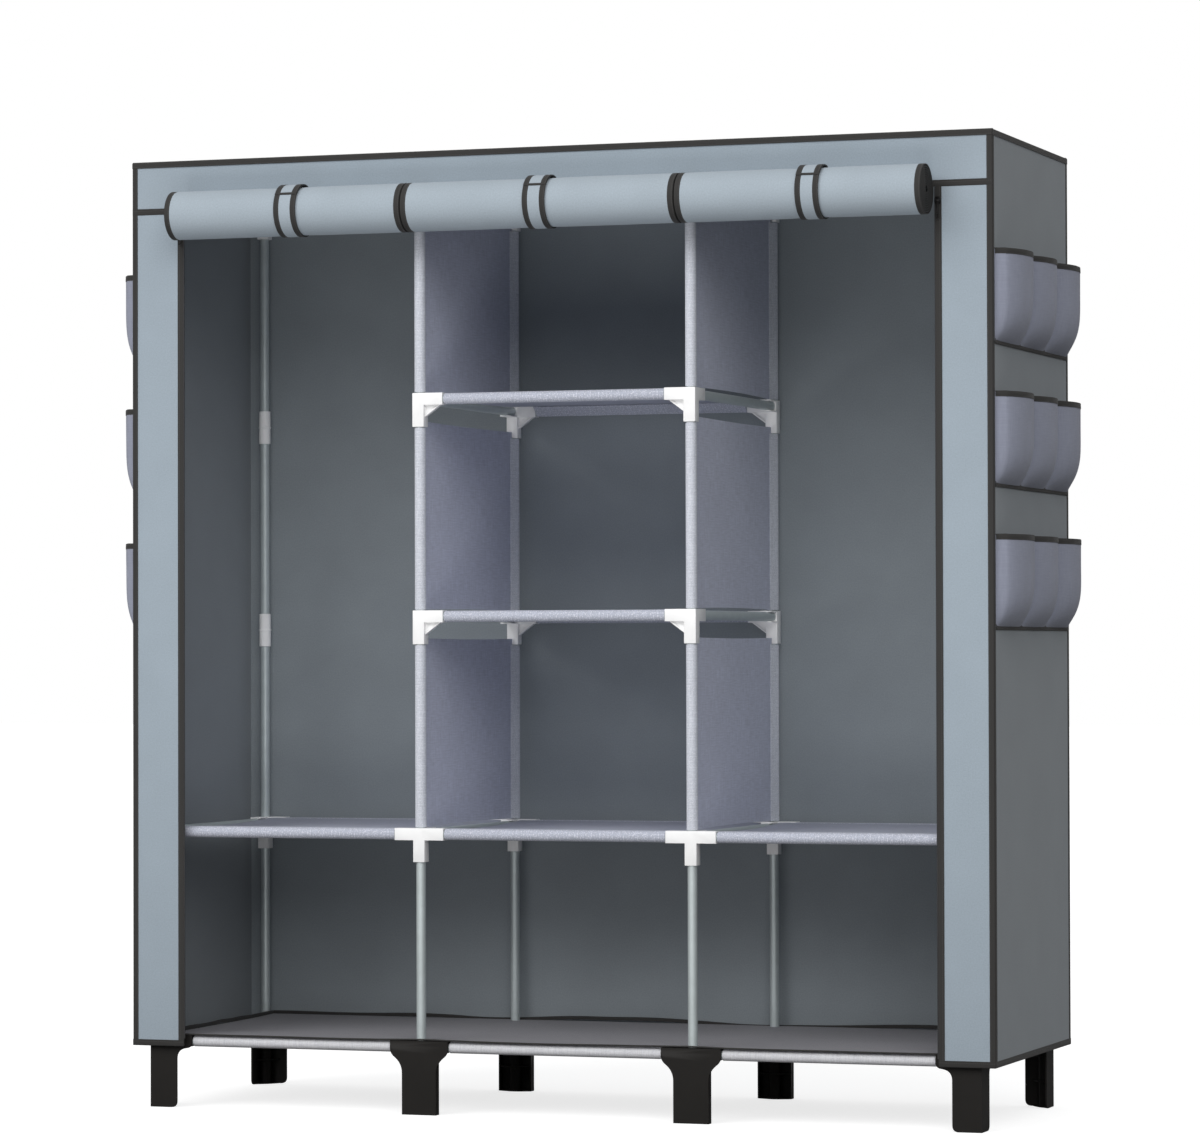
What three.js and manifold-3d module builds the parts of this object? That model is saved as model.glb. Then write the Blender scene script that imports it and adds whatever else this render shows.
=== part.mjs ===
// Portable fabric wardrobe. Four ladders of steel tube stand in feet and carry moulded connectors
// with the cross rods; sewn shelves, partitions and a box-shaped cover hang on that frame.
// Each front curtain is rolled up under the header and held by a tie strap.
// Millimetres, +Z up, +X to the right seen from the front. The front faces -Y.
import * as THREE from "three";
import { mergeVertices } from "three/addons/utils/BufferGeometryUtils.js";
import Module from "manifold-3d";

const wasm = await Module();
wasm.setup();

// Frame
const BAY_PITCH = 473; // post axis to post axis across one bay
const DEPTH_PITCH = 444; // front post axis to back post axis
const LEVEL_PITCH = 360; // shelf level to shelf level
const LOWER_SHELF_HEIGHT = 473; // floor to the top of the lower connectors
const TOP_RISE = 396; // top of the upper connectors to the top of the frame
const TUBE_DIAMETER = 16;
const TUBE_WALL = 0.8;
const TUBE_SIDES = 8;
const SEAT = 0.3; // clearance between pieces that touch
const CUT_OVERRUN = 4; // how far a cutting shape runs past the solid it cuts
const MERGE_DISTANCE = 1e-4; // points closer than this are one point

// Moulded connectors
const CONNECTOR_SIZE = 20; // square outside of a socket
const CONNECTOR_REACH = 43; // post axis to the mouth of a side socket
const CONNECTOR_HEIGHT = 56;
const TOP_CONNECTOR_HEIGHT = 90;
const GUSSET_WIDTH = 27;
const GUSSET_DROP = 19;
const GUSSET_WEB = 2.4;
const GUSSET_ROOT = 1.5; // how far a gusset reaches into the socket it braces
const GUSSET_FLANGE = 9; // width of the flange along the gusset's free edge
const COUPLER_DIAMETER = 21.6;
const COUPLER_LENGTH = 58;

// Feet
const FOOT_HEIGHT = 122;
const FOOT_FACE = 12.5; // post axis to the outer face of a foot
const FOOT_WALL = 3;
const FOOT_ARM_HEIGHT = 21;
const FOOT_ARM_REACH = 48; // post axis to the mouth of the socket for the depth rod
const FOOT_LEG_WIDTH = 60; // plain foot
const FOOT_SHOULDER_WIDTH = 102; // plain foot
const FOOT_FLARE = 17; // height of the curve from leg to shoulder
const FOOT_SOCKET_DEPTH = 38; // foot top down to the end of the post
const FOOT_INNER_REACH = 16; // post axis to the open side of a plain foot's webs
const FOOT_WEB = 2.2;
const FOOT_LIP = 2.5; // height of the base plate
const FOOT_CURVE_STEPS = 2; // steps round each rounded corner
const CORNER_LEG = 36; // post axis to the inner edge of a corner foot's leg
const CORNER_SHOULDER = 72; // post axis to the end of a corner foot's shoulder
const CORNER_RADIUS = 7;

// Hanging rods
const HOOK_WIDTH = 18;
const HOOK_MOUTH_ANGLE = 80; // degrees left open under the depth rod
const HOOK_SOCKET_LENGTH = 30;
const HOOK_STEPS = 5; // pairs of steps round a hook
const HANGING_ROD_DROP = 13; // depth rod axis down to the hanging rod axis

// Sewn sleeves, shelves and partitions
const SLEEVE_CLOTH = 1;
const SHELF_CLOTH = 1.2;
const SHELF_SAG = 5;
const SHELF_SAG_STEPS = 6;
const SHELF_SIDE_GAP = 14; // post axis to the side edge of a shelf
const FITTING_GAP = 1.5; // cloth to a connector beside it
const PARTITION_TOP_GAP = 4; // partition to the depth rod over it

// Cover
const COVER_CLOTH = 1.5;
const COVER_FRONT_GAP = 24; // front post axis to the cover's front face
const COVER_BACK_GAP = 25; // back post axis to the cover's back face
const COVER_SIDE_GAP = 38.5; // outer post axis to the cover's side face
const COVER_BOTTOM = 105; // floor to the hem
const HEADER_HEIGHT = 87; // cover top down to the header seam
const STRIP_WIDTH = 92; // plain strip of the front at each side
const BINDING_WIDTH = 9;
const BINDING_PROUD = 0.8;

// Rolled front curtains
const ROLL_RADIUS = 42;
const ROLL_CORE = 5;
const ROLL_CLOTH = 1.6;
const ROLL_TURNS = 8;
const ROLL_INNER_STEPS = 8; // steps in a turn at the core
const ROLL_OUTER_STEPS = 16; // steps in a turn at the outside
const ROLL_DROP = 8; // header seam down to the roll's axis
const ROLL_MIDDLE_SHIFT = 6; // the middle roll sits this far to the right
const CURTAIN_GAP = 3; // between neighbouring rolls
const CURTAIN_EDGE_GAP = 4; // strip edge to the end of an outer roll
const STRAP_WIDTH = 38;
const STRAP_CLOTH = 1.2;
const STRAP_FLAP_ANGLE = 145; // degrees round the roll, from its back over the top, to the flap's end
const STRAP_LEG_ANGLE = 105; // the same to the end of the lower leg, which lies under the flap
const STRAP_SHIFTS = { left: 8, middle: -2, right: 18 }; // right of the middle of each roll
const FLAP_STEPS = 4; // pairs of steps along the flap
const LEG_STEPS = 8; // pairs of steps along the lower leg

// Side pockets
const POCKET_COUNT = 3; // pockets in a row
const POCKET_TOP_DROP = 189; // cover top down to the first row
const POCKET_HEIGHT = 146;
const POCKET_ROW_PITCH = 227;
const POCKET_BULGE = 40;
const POCKET_CLOTH = 1.2;
const POCKET_COLUMNS = 6; // steps across one pocket
const POCKET_ROUND_POWER = 0.4; // how square a pocket is across
const POCKET_BELLY_POWER = 3.5; // how quickly a pocket fills out above its bottom seam
const POCKET_HEIGHT_SHARES = [0, 0.14, 0.38, 1];

// Zips
const ZIP_DROP = 24; // header seam down to the middle of a raised slider
const SLIDER_HEIGHT = 13;
const SLIDER_WIDTH = 10;
const SLIDER_PLATE = 1.4;
const EAR_WIDTH = 1.2;
const PULL_LENGTH = 30;
const PULL_WIDTH = 6;
const PULL_THICKNESS = 1.4;
const PULL_EYE_WALL = 1.1;
const PULL_BAR_DIAMETER = 2;
const PULL_PLAY = 0.4;
const SMALL_SIDES = 10;

// Places worked out from the sizes above
const halfBays = [-3, -1, 1, 3];
const postX = halfBays.map((count) => (count * BAY_PITCH) / 2);
const tubeRadius = TUBE_DIAMETER / 2;
const boreRadius = tubeRadius + SEAT;
const half = CONNECTOR_SIZE / 2;
const levelTop = {
  lower: LOWER_SHELF_HEIGHT,
  middle: LOWER_SHELF_HEIGHT + LEVEL_PITCH,
  upper: LOWER_SHELF_HEIGHT + 2 * LEVEL_PITCH,
  top: LOWER_SHELF_HEIGHT + 2 * LEVEL_PITCH + TOP_RISE,
};
const rodZ = { base: FOOT_HEIGHT - FOOT_ARM_HEIGHT / 2 };
for (const level of Object.keys(levelTop)) rodZ[level] = levelTop[level] - half;
const connectorHeight = {
  lower: CONNECTOR_HEIGHT,
  middle: CONNECTOR_HEIGHT,
  upper: CONNECTOR_HEIGHT,
  top: TOP_CONNECTOR_HEIGHT,
};

const coverTop = levelTop.top + SEAT + COVER_CLOTH;
const seamZ = coverTop - HEADER_HEIGHT;
const rollZ = seamZ - ROLL_DROP;
const strapInner = ROLL_RADIUS + SEAT;
const strapOuter = strapInner + STRAP_CLOTH;
const flapOuter = strapOuter + STRAP_CLOTH;
const rollReach = COVER_FRONT_GAP + BINDING_PROUD + SEAT + ROLL_RADIUS; // front post axis to roll axis
const frontReach = rollReach + strapOuter;
const backReach = DEPTH_PITCH + COVER_BACK_GAP + BINDING_PROUD;
const frontY = (frontReach - backReach) / 2; // front posts, with the whole object centred on Y
const backY = frontY + DEPTH_PITCH;
const rollY = frontY - rollReach;
const coverFront = frontY - COVER_FRONT_GAP;
const coverBack = backY + COVER_BACK_GAP;
const coverSide = postX[3] + COVER_SIDE_GAP;
const stripEdge = coverSide - STRIP_WIDTH;
const postBottom = FOOT_HEIGHT - FOOT_SOCKET_DEPTH;
const armLow = FOOT_HEIGHT - FOOT_ARM_HEIGHT;
const sleeveRadius = boreRadius + SLEEVE_CLOTH;

// Materials
function finish(color, roughness, metalness) {
  return new THREE.MeshStandardMaterial({ color, roughness, metalness });
}
const steel = finish(0x93a8a6, 0.4, 0.5);
const whitePlastic = finish(0xf1f0ee, 0.5, 0);
const blackPlastic = finish(0x2f2b29, 0.55, 0);
const coverCloth = finish(0x9ca9b4, 0.95, 0);
const shelfCloth = finish(0x81828f, 0.95, 0);
const pocketCloth = finish(0x7f8191, 0.95, 0);
const darkMetal = finish(0x3a3938, 0.45, 0.7);

// A closed geometry as a solid that can be joined and cut.
function solid(geometry) {
  const bare = geometry.clone();
  bare.deleteAttribute("normal");
  bare.deleteAttribute("uv");
  const merged = mergeVertices(bare, MERGE_DISTANCE);
  const vertProperties = new Float32Array(merged.attributes.position.array);
  const triVerts = new Uint32Array(merged.index.array);
  return new wasm.Manifold(new wasm.Mesh({ numProp: 3, vertProperties, triVerts }));
}

// A solid back as a geometry for a mesh.
function geometryOf(shape) {
  const mesh = shape.getMesh();
  const geometry = new THREE.BufferGeometry();
  geometry.setAttribute("position", new THREE.BufferAttribute(mesh.vertProperties, mesh.numProp));
  geometry.setIndex(new THREE.BufferAttribute(mesh.triVerts, 1));
  geometry.computeVertexNormals();
  return geometry;
}

function join(pieces) {
  return pieces.reduce((sum, piece) => sum.add(piece));
}

// Two places in rising order.
function span(a, b) {
  return a < b ? [a, b] : [b, a];
}

// A block between two corners.
function block([x0, x1], [y0, y1], [z0, z1]) {
  const geometry = new THREE.BoxGeometry(x1 - x0, y1 - y0, z1 - z0);
  return solid(geometry.translate((x0 + x1) / 2, (y0 + y1) / 2, (z0 + z1) / 2));
}

// A round bar along an axis from one place to another; centre is its other two coordinates.
function bar(axis, radius, from, to, centre, sides = TUBE_SIDES) {
  const geometry = new THREE.CylinderGeometry(radius, radius, to - from, sides);
  if (axis === "x") geometry.rotateZ(-Math.PI / 2);
  if (axis === "z") geometry.rotateX(Math.PI / 2);
  const middle = (from + to) / 2;
  const [u, v] = centre;
  const places = { x: [middle, u, v], y: [u, middle, v], z: [u, v, middle] };
  return solid(geometry.translate(...places[axis]));
}

const unitX = new THREE.Vector3(1, 0, 0);
const unitY = new THREE.Vector3(0, 1, 0);
const unitZ = new THREE.Vector3(0, 0, 1);
const planes = {
  xy: new THREE.Matrix4().makeBasis(unitX, unitY, unitZ),
  yz: new THREE.Matrix4().makeBasis(unitY, unitZ, unitX),
  xz: new THREE.Matrix4().makeBasis(unitX, unitZ, unitY.clone().negate()),
};

// A flat shape pushed through from one place to another, square to its plane.
function prism(shape, plane, [from, to], curveSegments = 4) {
  const options = { depth: to - from, bevelEnabled: false, curveSegments };
  const geometry = new THREE.ExtrudeGeometry(shape, options).applyMatrix4(planes[plane]);
  const shift = { xy: [0, 0, from], yz: [from, 0, 0], xz: [0, to, 0] };
  return solid(geometry.translate(...shift[plane]));
}

// A polygon whose corners can be rounded: each point is [u, v] or [u, v, radius].
function outline(points) {
  const shape = new THREE.Shape();
  const count = points.length;
  points.forEach(([u, v, radius = 0], i) => {
    const corner = new THREE.Vector2(u, v);
    const toward = (j) => new THREE.Vector2(...points[(i + j + count) % count]).sub(corner);
    const start = radius ? toward(-1).setLength(radius).add(corner) : corner;
    if (i === 0) shape.moveTo(start.x, start.y);
    else shape.lineTo(start.x, start.y);
    if (!radius) return;
    const end = toward(1).setLength(radius).add(corner);
    shape.quadraticCurveTo(u, v, end.x, end.y);
  });
  shape.closePath();
  return shape;
}

function rectangle([u0, u1], [v0, v1]) {
  return outline([[u0, v0], [u1, v0], [u1, v1], [u0, v1]]);
}

// Part of a ring between two angles in degrees.
function ringPart(u, v, inner, outer, fromDegrees, toDegrees) {
  const from = THREE.MathUtils.degToRad(fromDegrees);
  const to = THREE.MathUtils.degToRad(toDegrees);
  const shape = new THREE.Shape();
  shape.absarc(u, v, outer, from, to, false);
  shape.absarc(u, v, inner, to, from, true);
  shape.closePath();
  return shape;
}

const wardrobe = new THREE.Group();

function add(name, shape, material) {
  const mesh = new THREE.Mesh(geometryOf(shape), material);
  mesh.name = name;
  wardrobe.add(mesh);
}

// Side frames: two posts and the depth rods between them, open inside.
const ladders = [
  { side: "left_outer", levels: ["base", "lower", "top"] },
  { side: "left_inner", levels: ["base", "lower", "middle", "upper", "top"] },
  { side: "right_inner", levels: ["base", "lower", "middle", "upper", "top"] },
  { side: "right_outer", levels: ["base", "lower", "top"] },
];
const postTop = levelTop.top - TUBE_WALL;

function ladderBars(x, levels, radius, endGap) {
  const ends = [postBottom - endGap, postTop + endGap];
  const posts = [frontY, backY].map((y) => bar("z", radius, ...ends, [x, y]));
  const rods = levels.map((level) => bar("y", radius, frontY, backY, [x, rodZ[level]]));
  return join([...posts, ...rods]);
}

// The sleeves that join the lengths of an outer post where no shelf is.
function couplers(x) {
  const places = [frontY, backY].flatMap((y) => ["middle", "upper"].map((level) => [y, levelTop[level]]));
  return join(places.map(([y, top]) => bar("z", COUPLER_DIAMETER / 2, top - COUPLER_LENGTH, top, [x, y])));
}

// The square room that a side frame takes inside the connectors.
function ladderRoom(x, levels) {
  const across = [x - boreRadius, x + boreRadius];
  const upright = [postBottom - SEAT, postTop + SEAT];
  const posts = [frontY, backY].map((y) => block(across, [y - boreRadius, y + boreRadius], upright));
  const rods = levels.map((level) => {
    return block(across, [frontY, backY], [rodZ[level] - boreRadius, rodZ[level] + boreRadius]);
  });
  return join([...posts, ...rods]);
}

ladders.forEach(({ side, levels }, i) => {
  const tubes = ladderBars(postX[i], levels, tubeRadius, 0);
  const outside = side.endsWith("outer") ? tubes.add(couplers(postX[i])) : tubes;
  const inside = ladderBars(postX[i], levels, tubeRadius - TUBE_WALL, CUT_OVERRUN);
  add(`side_frame_${side}`, outside.subtract(inside), steel);
});

// The web and flange under an arm that points to +X or -X.
function gusset(x, y, armBottom, way) {
  const inner = x + way * (half - GUSSET_ROOT);
  const outer = x + way * (half + GUSSET_WIDTH);
  const low = armBottom - GUSSET_DROP;
  const high = armBottom + GUSSET_ROOT;
  const web = outline([[inner, high], [inner, low], [outer, armBottom], [outer, high]]);
  const flange = outline([
    [inner, low], [outer, armBottom], [outer, high],
    [outer - 2 * way * GUSSET_WEB, high], [inner, low + 2 * GUSSET_WEB],
  ]);
  return join([
    prism(web, "xz", [y - GUSSET_WEB / 2, y + GUSSET_WEB / 2]),
    prism(flange, "xz", [y - GUSSET_FLANGE / 2, y + GUSSET_FLANGE / 2]),
  ]);
}

// One connector: a sleeve down the post, side arms, and a half-open socket for the depth rod.
function connector(x, y, level, ways, braced) {
  const top = levelTop[level];
  const inward = y === frontY ? 1 : -1;
  const armZ = rodZ[level];
  const armHeight = [top - CONNECTOR_SIZE, top];
  const acrossX = [x - half, x + half];
  const acrossY = [y - half, y + half];
  const arms = ways.map((way) => block(span(x, x + way * CONNECTOR_REACH), acrossY, armHeight));
  const gussets = braced ? ways.map((way) => gusset(x, y, armZ - half, way)) : [];
  const sleeve = block(acrossX, acrossY, [top - connectorHeight[level], top]);
  const depthSocket = block(acrossX, span(y, y + inward * CONNECTOR_REACH), armHeight);
  const openSide = span(x - (inward * tubeRadius) / 2, x - inward * (half + CUT_OVERRUN));
  const mouth = y + inward * (CONNECTOR_REACH + CUT_OVERRUN);
  const slot = span(y + inward * (half + FITTING_GAP), mouth);
  const window = block(openSide, slot, [armZ - tubeRadius, armZ + tubeRadius]);
  return join([sleeve, depthSocket, ...arms, ...gussets]).subtract(window);
}

// A rail: the connectors along one level and the rods between them, bored for the side frames.
function rail(level, y, posts, braced) {
  const ends = [postX[posts[0]], postX[posts[posts.length - 1]]];
  const connectors = posts.map((post) => {
    const ways = [-1, 1].filter((way) => posts.includes(post + way));
    return connector(postX[post], y, level, ways, braced);
  });
  const rods = bar("x", tubeRadius, ...ends, [y, rodZ[level]]);
  const inside = bar("x", tubeRadius - TUBE_WALL, ...ends, [y, rodZ[level]]);
  const rooms = posts.map((post) => ladderRoom(postX[post], ladders[post].levels));
  return join([...connectors, rods]).subtract(join([inside, ...rooms]));
}

const allPosts = [0, 1, 2, 3];
const innerPosts = [1, 2];
for (const [row, y] of [["front", frontY], ["back", backY]]) {
  add(`rail_lower_${row}`, rail("lower", y, allPosts, false), whitePlastic);
  add(`rail_middle_${row}`, rail("middle", y, innerPosts, true), whitePlastic);
  add(`rail_upper_${row}`, rail("upper", y, innerPosts, true), whitePlastic);
  add(`rail_top_${row}`, rail("top", y, allPosts, false), whitePlastic);
}

// One edge of a foot's plate, from the floor up: a leg, the curve out to the shoulder, the top.
function plateEdge(centre, way, leg, shoulder, radius) {
  if (leg === shoulder) return [[centre + way * leg, 0, radius], [centre + way * leg, FOOT_HEIGHT]];
  return [
    [centre + way * leg, 0, radius],
    [centre + way * leg, armLow - FOOT_FLARE, FOOT_FLARE / 2],
    [centre + way * shoulder, armLow, FOOT_FLARE / 4],
    [centre + way * shoulder, FOOT_HEIGHT],
  ];
}

// Half widths of a plain foot.
const plainLeg = FOOT_LEG_WIDTH / 2;
const plainShoulder = FOOT_SHOULDER_WIDTH / 2;

function plainFoot(x, y, inward) {
  const outer = y - inward * FOOT_FACE;
  const edges = [1, -1].map((way) => plateEdge(x, way, plainLeg, plainShoulder, 0));
  const face = outline([...edges[0], ...edges[1].reverse()]);
  const legX = [x - plainLeg, x + plainLeg];
  const bow = outline([
    [legX[0], outer], [legX[1], outer], [legX[1], y + inward * FOOT_WALL],
    [x, y + inward * FOOT_INNER_REACH, plainLeg / 2], [legX[0], y + inward * FOOT_WALL],
  ]);
  const walls = [[legX[0], legX[0] + FOOT_WALL], [legX[1] - FOOT_WALL, legX[1]]];
  const webs = [postBottom / 2, armLow - FOOT_FLARE - FOOT_WEB];
  return join([
    prism(face, "xz", span(outer, outer + inward * FOOT_WALL), FOOT_CURVE_STEPS),
    block([x - plainShoulder, x + plainShoulder], span(outer, y + inward * half), [armLow, FOOT_HEIGHT]),
    block([x - half, x + half], span(outer, y + inward * FOOT_ARM_REACH), [armLow, FOOT_HEIGHT]),
    bar("z", half, 0, FOOT_HEIGHT, [x, y]),
    ...walls.map((wall) => block(wall, span(outer, y + inward * FOOT_WALL), [0, armLow - FOOT_FLARE])),
    prism(bow, "xy", [0, FOOT_LIP], FOOT_CURVE_STEPS),
    ...webs.map((z) => prism(bow, "xy", [z, z + FOOT_WEB], FOOT_CURVE_STEPS)),
  ]);
}

function cornerFoot(x, y, inward, outward) {
  const outerX = x + outward * FOOT_FACE;
  const outerY = y - inward * FOOT_FACE;
  const plates = [
    { plane: "xz", centre: x, way: -outward, shoulder: CORNER_SHOULDER, from: outerY, towards: inward },
    { plane: "yz", centre: y, way: inward, shoulder: FOOT_ARM_REACH, from: outerX, towards: -outward },
  ].map(({ plane, centre, way, shoulder, from, towards }) => {
    const outerEdge = plateEdge(centre, -way, FOOT_FACE, FOOT_FACE, 0);
    const innerEdge = plateEdge(centre, way, CORNER_LEG, shoulder, CORNER_RADIUS);
    const face = outline([...innerEdge, ...outerEdge.reverse()]);
    return prism(face, plane, span(from, from + towards * FOOT_WALL), FOOT_CURVE_STEPS);
  });
  const floor = outline([
    [outerX, outerY], [x - outward * (CORNER_LEG - CORNER_RADIUS), outerY],
    [x - outward * half, y + inward * half, half / 2], [outerX, y + inward * (CORNER_LEG - CORNER_RADIUS)],
  ]);
  const webs = [0, postBottom / 2, armLow - FOOT_FLARE];
  return join([
    ...plates,
    block(span(outerX, x - outward * CORNER_SHOULDER), span(outerY, y + inward * half), [armLow, FOOT_HEIGHT]),
    block(span(outerX, x - outward * half), span(outerY, y + inward * FOOT_ARM_REACH), [armLow, FOOT_HEIGHT]),
    bar("z", half, 0, FOOT_HEIGHT, [x, y]),
    block(span(outerX, x), span(outerY, y), [0, armLow]),
    ...webs.map((z) => prism(floor, "xy", [z, z + FOOT_WEB], FOOT_CURVE_STEPS)),
  ]);
}

// Each base rod is fixed in one foot and plugs into the next; the outer feet carry the outer rods.
const baseRodEnd = boreRadius + FOOT_WEB; // post axis to the end of a base rod
const baseRods = [
  { from: 0, to: 1, carrier: 0 },
  { from: 1, to: 2, carrier: 1 },
  { from: 2, to: 3, carrier: 3 },
];

function foot(post, y) {
  const x = postX[post];
  const inward = y === frontY ? 1 : -1;
  const isCorner = post === 0 || post === 3;
  let shape = isCorner ? cornerFoot(x, y, inward, Math.sign(x)) : plainFoot(x, y, inward);
  for (const { from, to, carrier } of baseRods) {
    if (from !== post && to !== post) continue;
    const ends = [postX[from] + baseRodEnd, postX[to] - baseRodEnd];
    if (carrier === post) {
      shape = shape.add(bar("x", tubeRadius, ...ends, [y, rodZ.base]));
      const inside = [ends[0] - CUT_OVERRUN, ends[1] + CUT_OVERRUN];
      shape = shape.subtract(bar("x", tubeRadius - TUBE_WALL, ...inside, [y, rodZ.base]));
    } else {
      shape = shape.subtract(bar("x", boreRadius, ends[0] - SEAT, ends[1] + SEAT, [y, rodZ.base]));
    }
  }
  const hollow = bar("z", tubeRadius, -CUT_OVERRUN, postBottom - FOOT_WEB, [x, y]);
  const postRoom = bar("z", boreRadius, postBottom - SEAT, FOOT_HEIGHT + CUT_OVERRUN, [x, y]);
  const rodRoom = bar("y", boreRadius, frontY, backY, [x, rodZ.base]);
  return shape.subtract(join([hollow, postRoom, rodRoom]));
}

for (const [row, y] of [["front", frontY], ["back", backY]])
  ladders.forEach(({ side }, post) => add(`foot_${row}_${side}`, foot(post, y), blackPlastic));

// Hanging rods: a tube with a snap-on hook at each end, over the top depth rods. A hook's top is
// level with the connectors.
function hangingRod(left, right) {
  const y = (frontY + backY) / 2;
  const z = rodZ.top - HANGING_ROD_DROP;
  const hooks = [[left, 1], [right, -1]].flatMap(([x, way]) => {
    const start = x + way * (boreRadius + SEAT);
    const mouth = HOOK_MOUTH_ANGLE / 2;
    const ring = ringPart(x, rodZ.top, boreRadius, half, mouth - 90, 270 - mouth);
    return [
      prism(ring, "xz", [y - HOOK_WIDTH / 2, y + HOOK_WIDTH / 2], HOOK_STEPS),
      bar("x", half, ...span(start, start + way * HOOK_SOCKET_LENGTH), [y, z]),
    ];
  });
  const ends = [left + boreRadius + SEAT, right - boreRadius - SEAT];
  const rod = bar("x", tubeRadius, ...ends, [y, z]);
  const inside = bar("x", tubeRadius - TUBE_WALL, ends[0] - CUT_OVERRUN, ends[1] + CUT_OVERRUN, [y, z]);
  return join([...hooks, rod]).subtract(inside);
}
add("hanging_rod_left", hangingRod(postX[0], postX[1]), steel);
add("hanging_rod_right", hangingRod(postX[2], postX[3]), steel);

// A sewn sleeve round a rod or a post.
function sleeve(axis, from, to, centre) {
  return bar(axis, sleeveRadius, from, to, centre);
}
function sleeveBore(axis, from, to, centre) {
  return bar(axis, boreRadius, from - CUT_OVERRUN, to + CUT_OVERRUN, centre);
}

// A shelf between two posts: a sheet that sags between sleeves on the front and back rods.
function shelf(level, left, right) {
  const z = rodZ[level];
  const topZ = z + sleeveRadius;
  const steps = Array.from({ length: SHELF_SAG_STEPS + 1 }, (_, i) => i / SHELF_SAG_STEPS);
  const upper = steps.map((s) => [frontY + s * DEPTH_PITCH, topZ - 4 * s * (1 - s) * SHELF_SAG]);
  const lower = upper.map(([y, height]) => [y, height - SHELF_CLOTH]).reverse();
  const sheetX = [left + SHELF_SIDE_GAP, right - SHELF_SIDE_GAP];
  const sleeveX = [left + CONNECTOR_REACH + FITTING_GAP, right - CONNECTOR_REACH - FITTING_GAP];
  const sheet = prism(outline([...upper, ...lower]), "yz", sheetX);
  const notchZ = [z - sleeveRadius - CUT_OVERRUN, topZ + CUT_OVERRUN];
  const notches = [[left, sleeveX[0]], [sleeveX[1], right]].flatMap((notchX) => [
    block(notchX, [frontY - sleeveRadius - CUT_OVERRUN, frontY + half + FITTING_GAP], notchZ),
    block(notchX, [backY - half - FITTING_GAP, backY + sleeveRadius + CUT_OVERRUN], notchZ),
  ]);
  const sleeves = [frontY, backY].map((y) => sleeve("x", ...sleeveX, [y, z]));
  const bores = [frontY, backY].map((y) => sleeveBore("x", ...sheetX, [y, z]));
  return join([sheet.subtract(join(notches)), ...sleeves]).subtract(join(bores));
}
const bays = ["left", "middle", "right"];
bays.forEach((bay, i) => add(`shelf_lower_${bay}`, shelf("lower", postX[i], postX[i + 1]), shelfCloth));
add("shelf_middle", shelf("middle", postX[1], postX[2]), shelfCloth);
add("shelf_upper", shelf("upper", postX[1], postX[2]), shelfCloth);

// The base sheet lies over the feet, with sleeves round the base rods between them.
function baseSheet() {
  const z = [FOOT_HEIGHT + SEAT, FOOT_HEIGHT + SEAT + SHELF_CLOTH];
  const edge = boreRadius + FITTING_GAP;
  const y = [frontY - FOOT_FACE, backY + FOOT_FACE];
  const sheet = block([postX[0] + edge, postX[3] - edge], y, z);
  const notches = innerPosts.flatMap((post) => {
    const x = [postX[post] - boreRadius, postX[post] + boreRadius];
    const notchZ = [z[0] - CUT_OVERRUN, z[1] + CUT_OVERRUN];
    return [
      block(x, [y[0] - CUT_OVERRUN, frontY + boreRadius], notchZ),
      block(x, [backY - boreRadius, y[1] + CUT_OVERRUN], notchZ),
    ];
  });
  const shoulders = [CORNER_SHOULDER, plainShoulder, plainShoulder, CORNER_SHOULDER];
  const sewn = [];
  const bores = [];
  for (let bay = 0; bay < bays.length; bay += 1)
    for (const row of [frontY, backY]) {
      const from = postX[bay] + shoulders[bay] + FITTING_GAP;
      const to = postX[bay + 1] - shoulders[bay + 1] - FITTING_GAP;
      sewn.push(sleeve("x", from, to, [row, rodZ.base]));
      sewn.push(block([from, to], [row - SHELF_CLOTH / 2, row + SHELF_CLOTH / 2], [rodZ.base, z[1]]));
      bores.push(sleeveBore("x", from, to, [row, rodZ.base]));
    }
  return join([sheet.subtract(join(notches)), ...sewn]).subtract(join(bores));
}
add("shelf_base", baseSheet(), shelfCloth);

// A partition between two levels: an upright sheet with sleeves on the front and back posts.
function partition(x, lowLevel, highLevel) {
  const low = levelTop[lowLevel] + FITTING_GAP;
  const sleeveTop = levelTop[highLevel] - connectorHeight[highLevel] - FITTING_GAP;
  const sheetTop = rodZ[highLevel] - tubeRadius - PARTITION_TOP_GAP;
  const sheetX = [x - SHELF_CLOTH / 2, x + SHELF_CLOTH / 2];
  const clear = half + FITTING_GAP;
  const sleeves = [frontY, backY].map((y) => sleeve("z", low, sleeveTop, [x, y]));
  const bores = [frontY, backY].map((y) => sleeveBore("z", low, sleeveTop, [x, y]));
  return join([
    ...sleeves,
    block(sheetX, [frontY, backY], [low, sleeveTop]),
    block(sheetX, [frontY + clear, backY - clear], [low, sheetTop]),
  ]).subtract(join(bores));
}
for (const [side, post] of [["left", 1], ["right", 2]]) {
  add(`partition_${side}_lower`, partition(postX[post], "lower", "middle"), shelfCloth);
  add(`partition_${side}_middle`, partition(postX[post], "middle", "upper"), shelfCloth);
  add(`partition_${side}_upper`, partition(postX[post], "upper", "top"), shelfCloth);
}

// A cover panel: a sheet with a bound edge that stands proud of its outer face.
function panel(plane, u, v, face, outward) {
  const back = face - outward * COVER_CLOTH;
  const front = face + outward * BINDING_PROUD;
  const frame = rectangle(u, v);
  const inner = [[u[0] + BINDING_WIDTH, u[1] - BINDING_WIDTH], [v[0] + BINDING_WIDTH, v[1] - BINDING_WIDTH]];
  frame.holes.push(rectangle(...inner));
  return join([prism(rectangle(u, v), plane, span(back, face)), prism(frame, plane, span(back, front))]);
}

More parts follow.
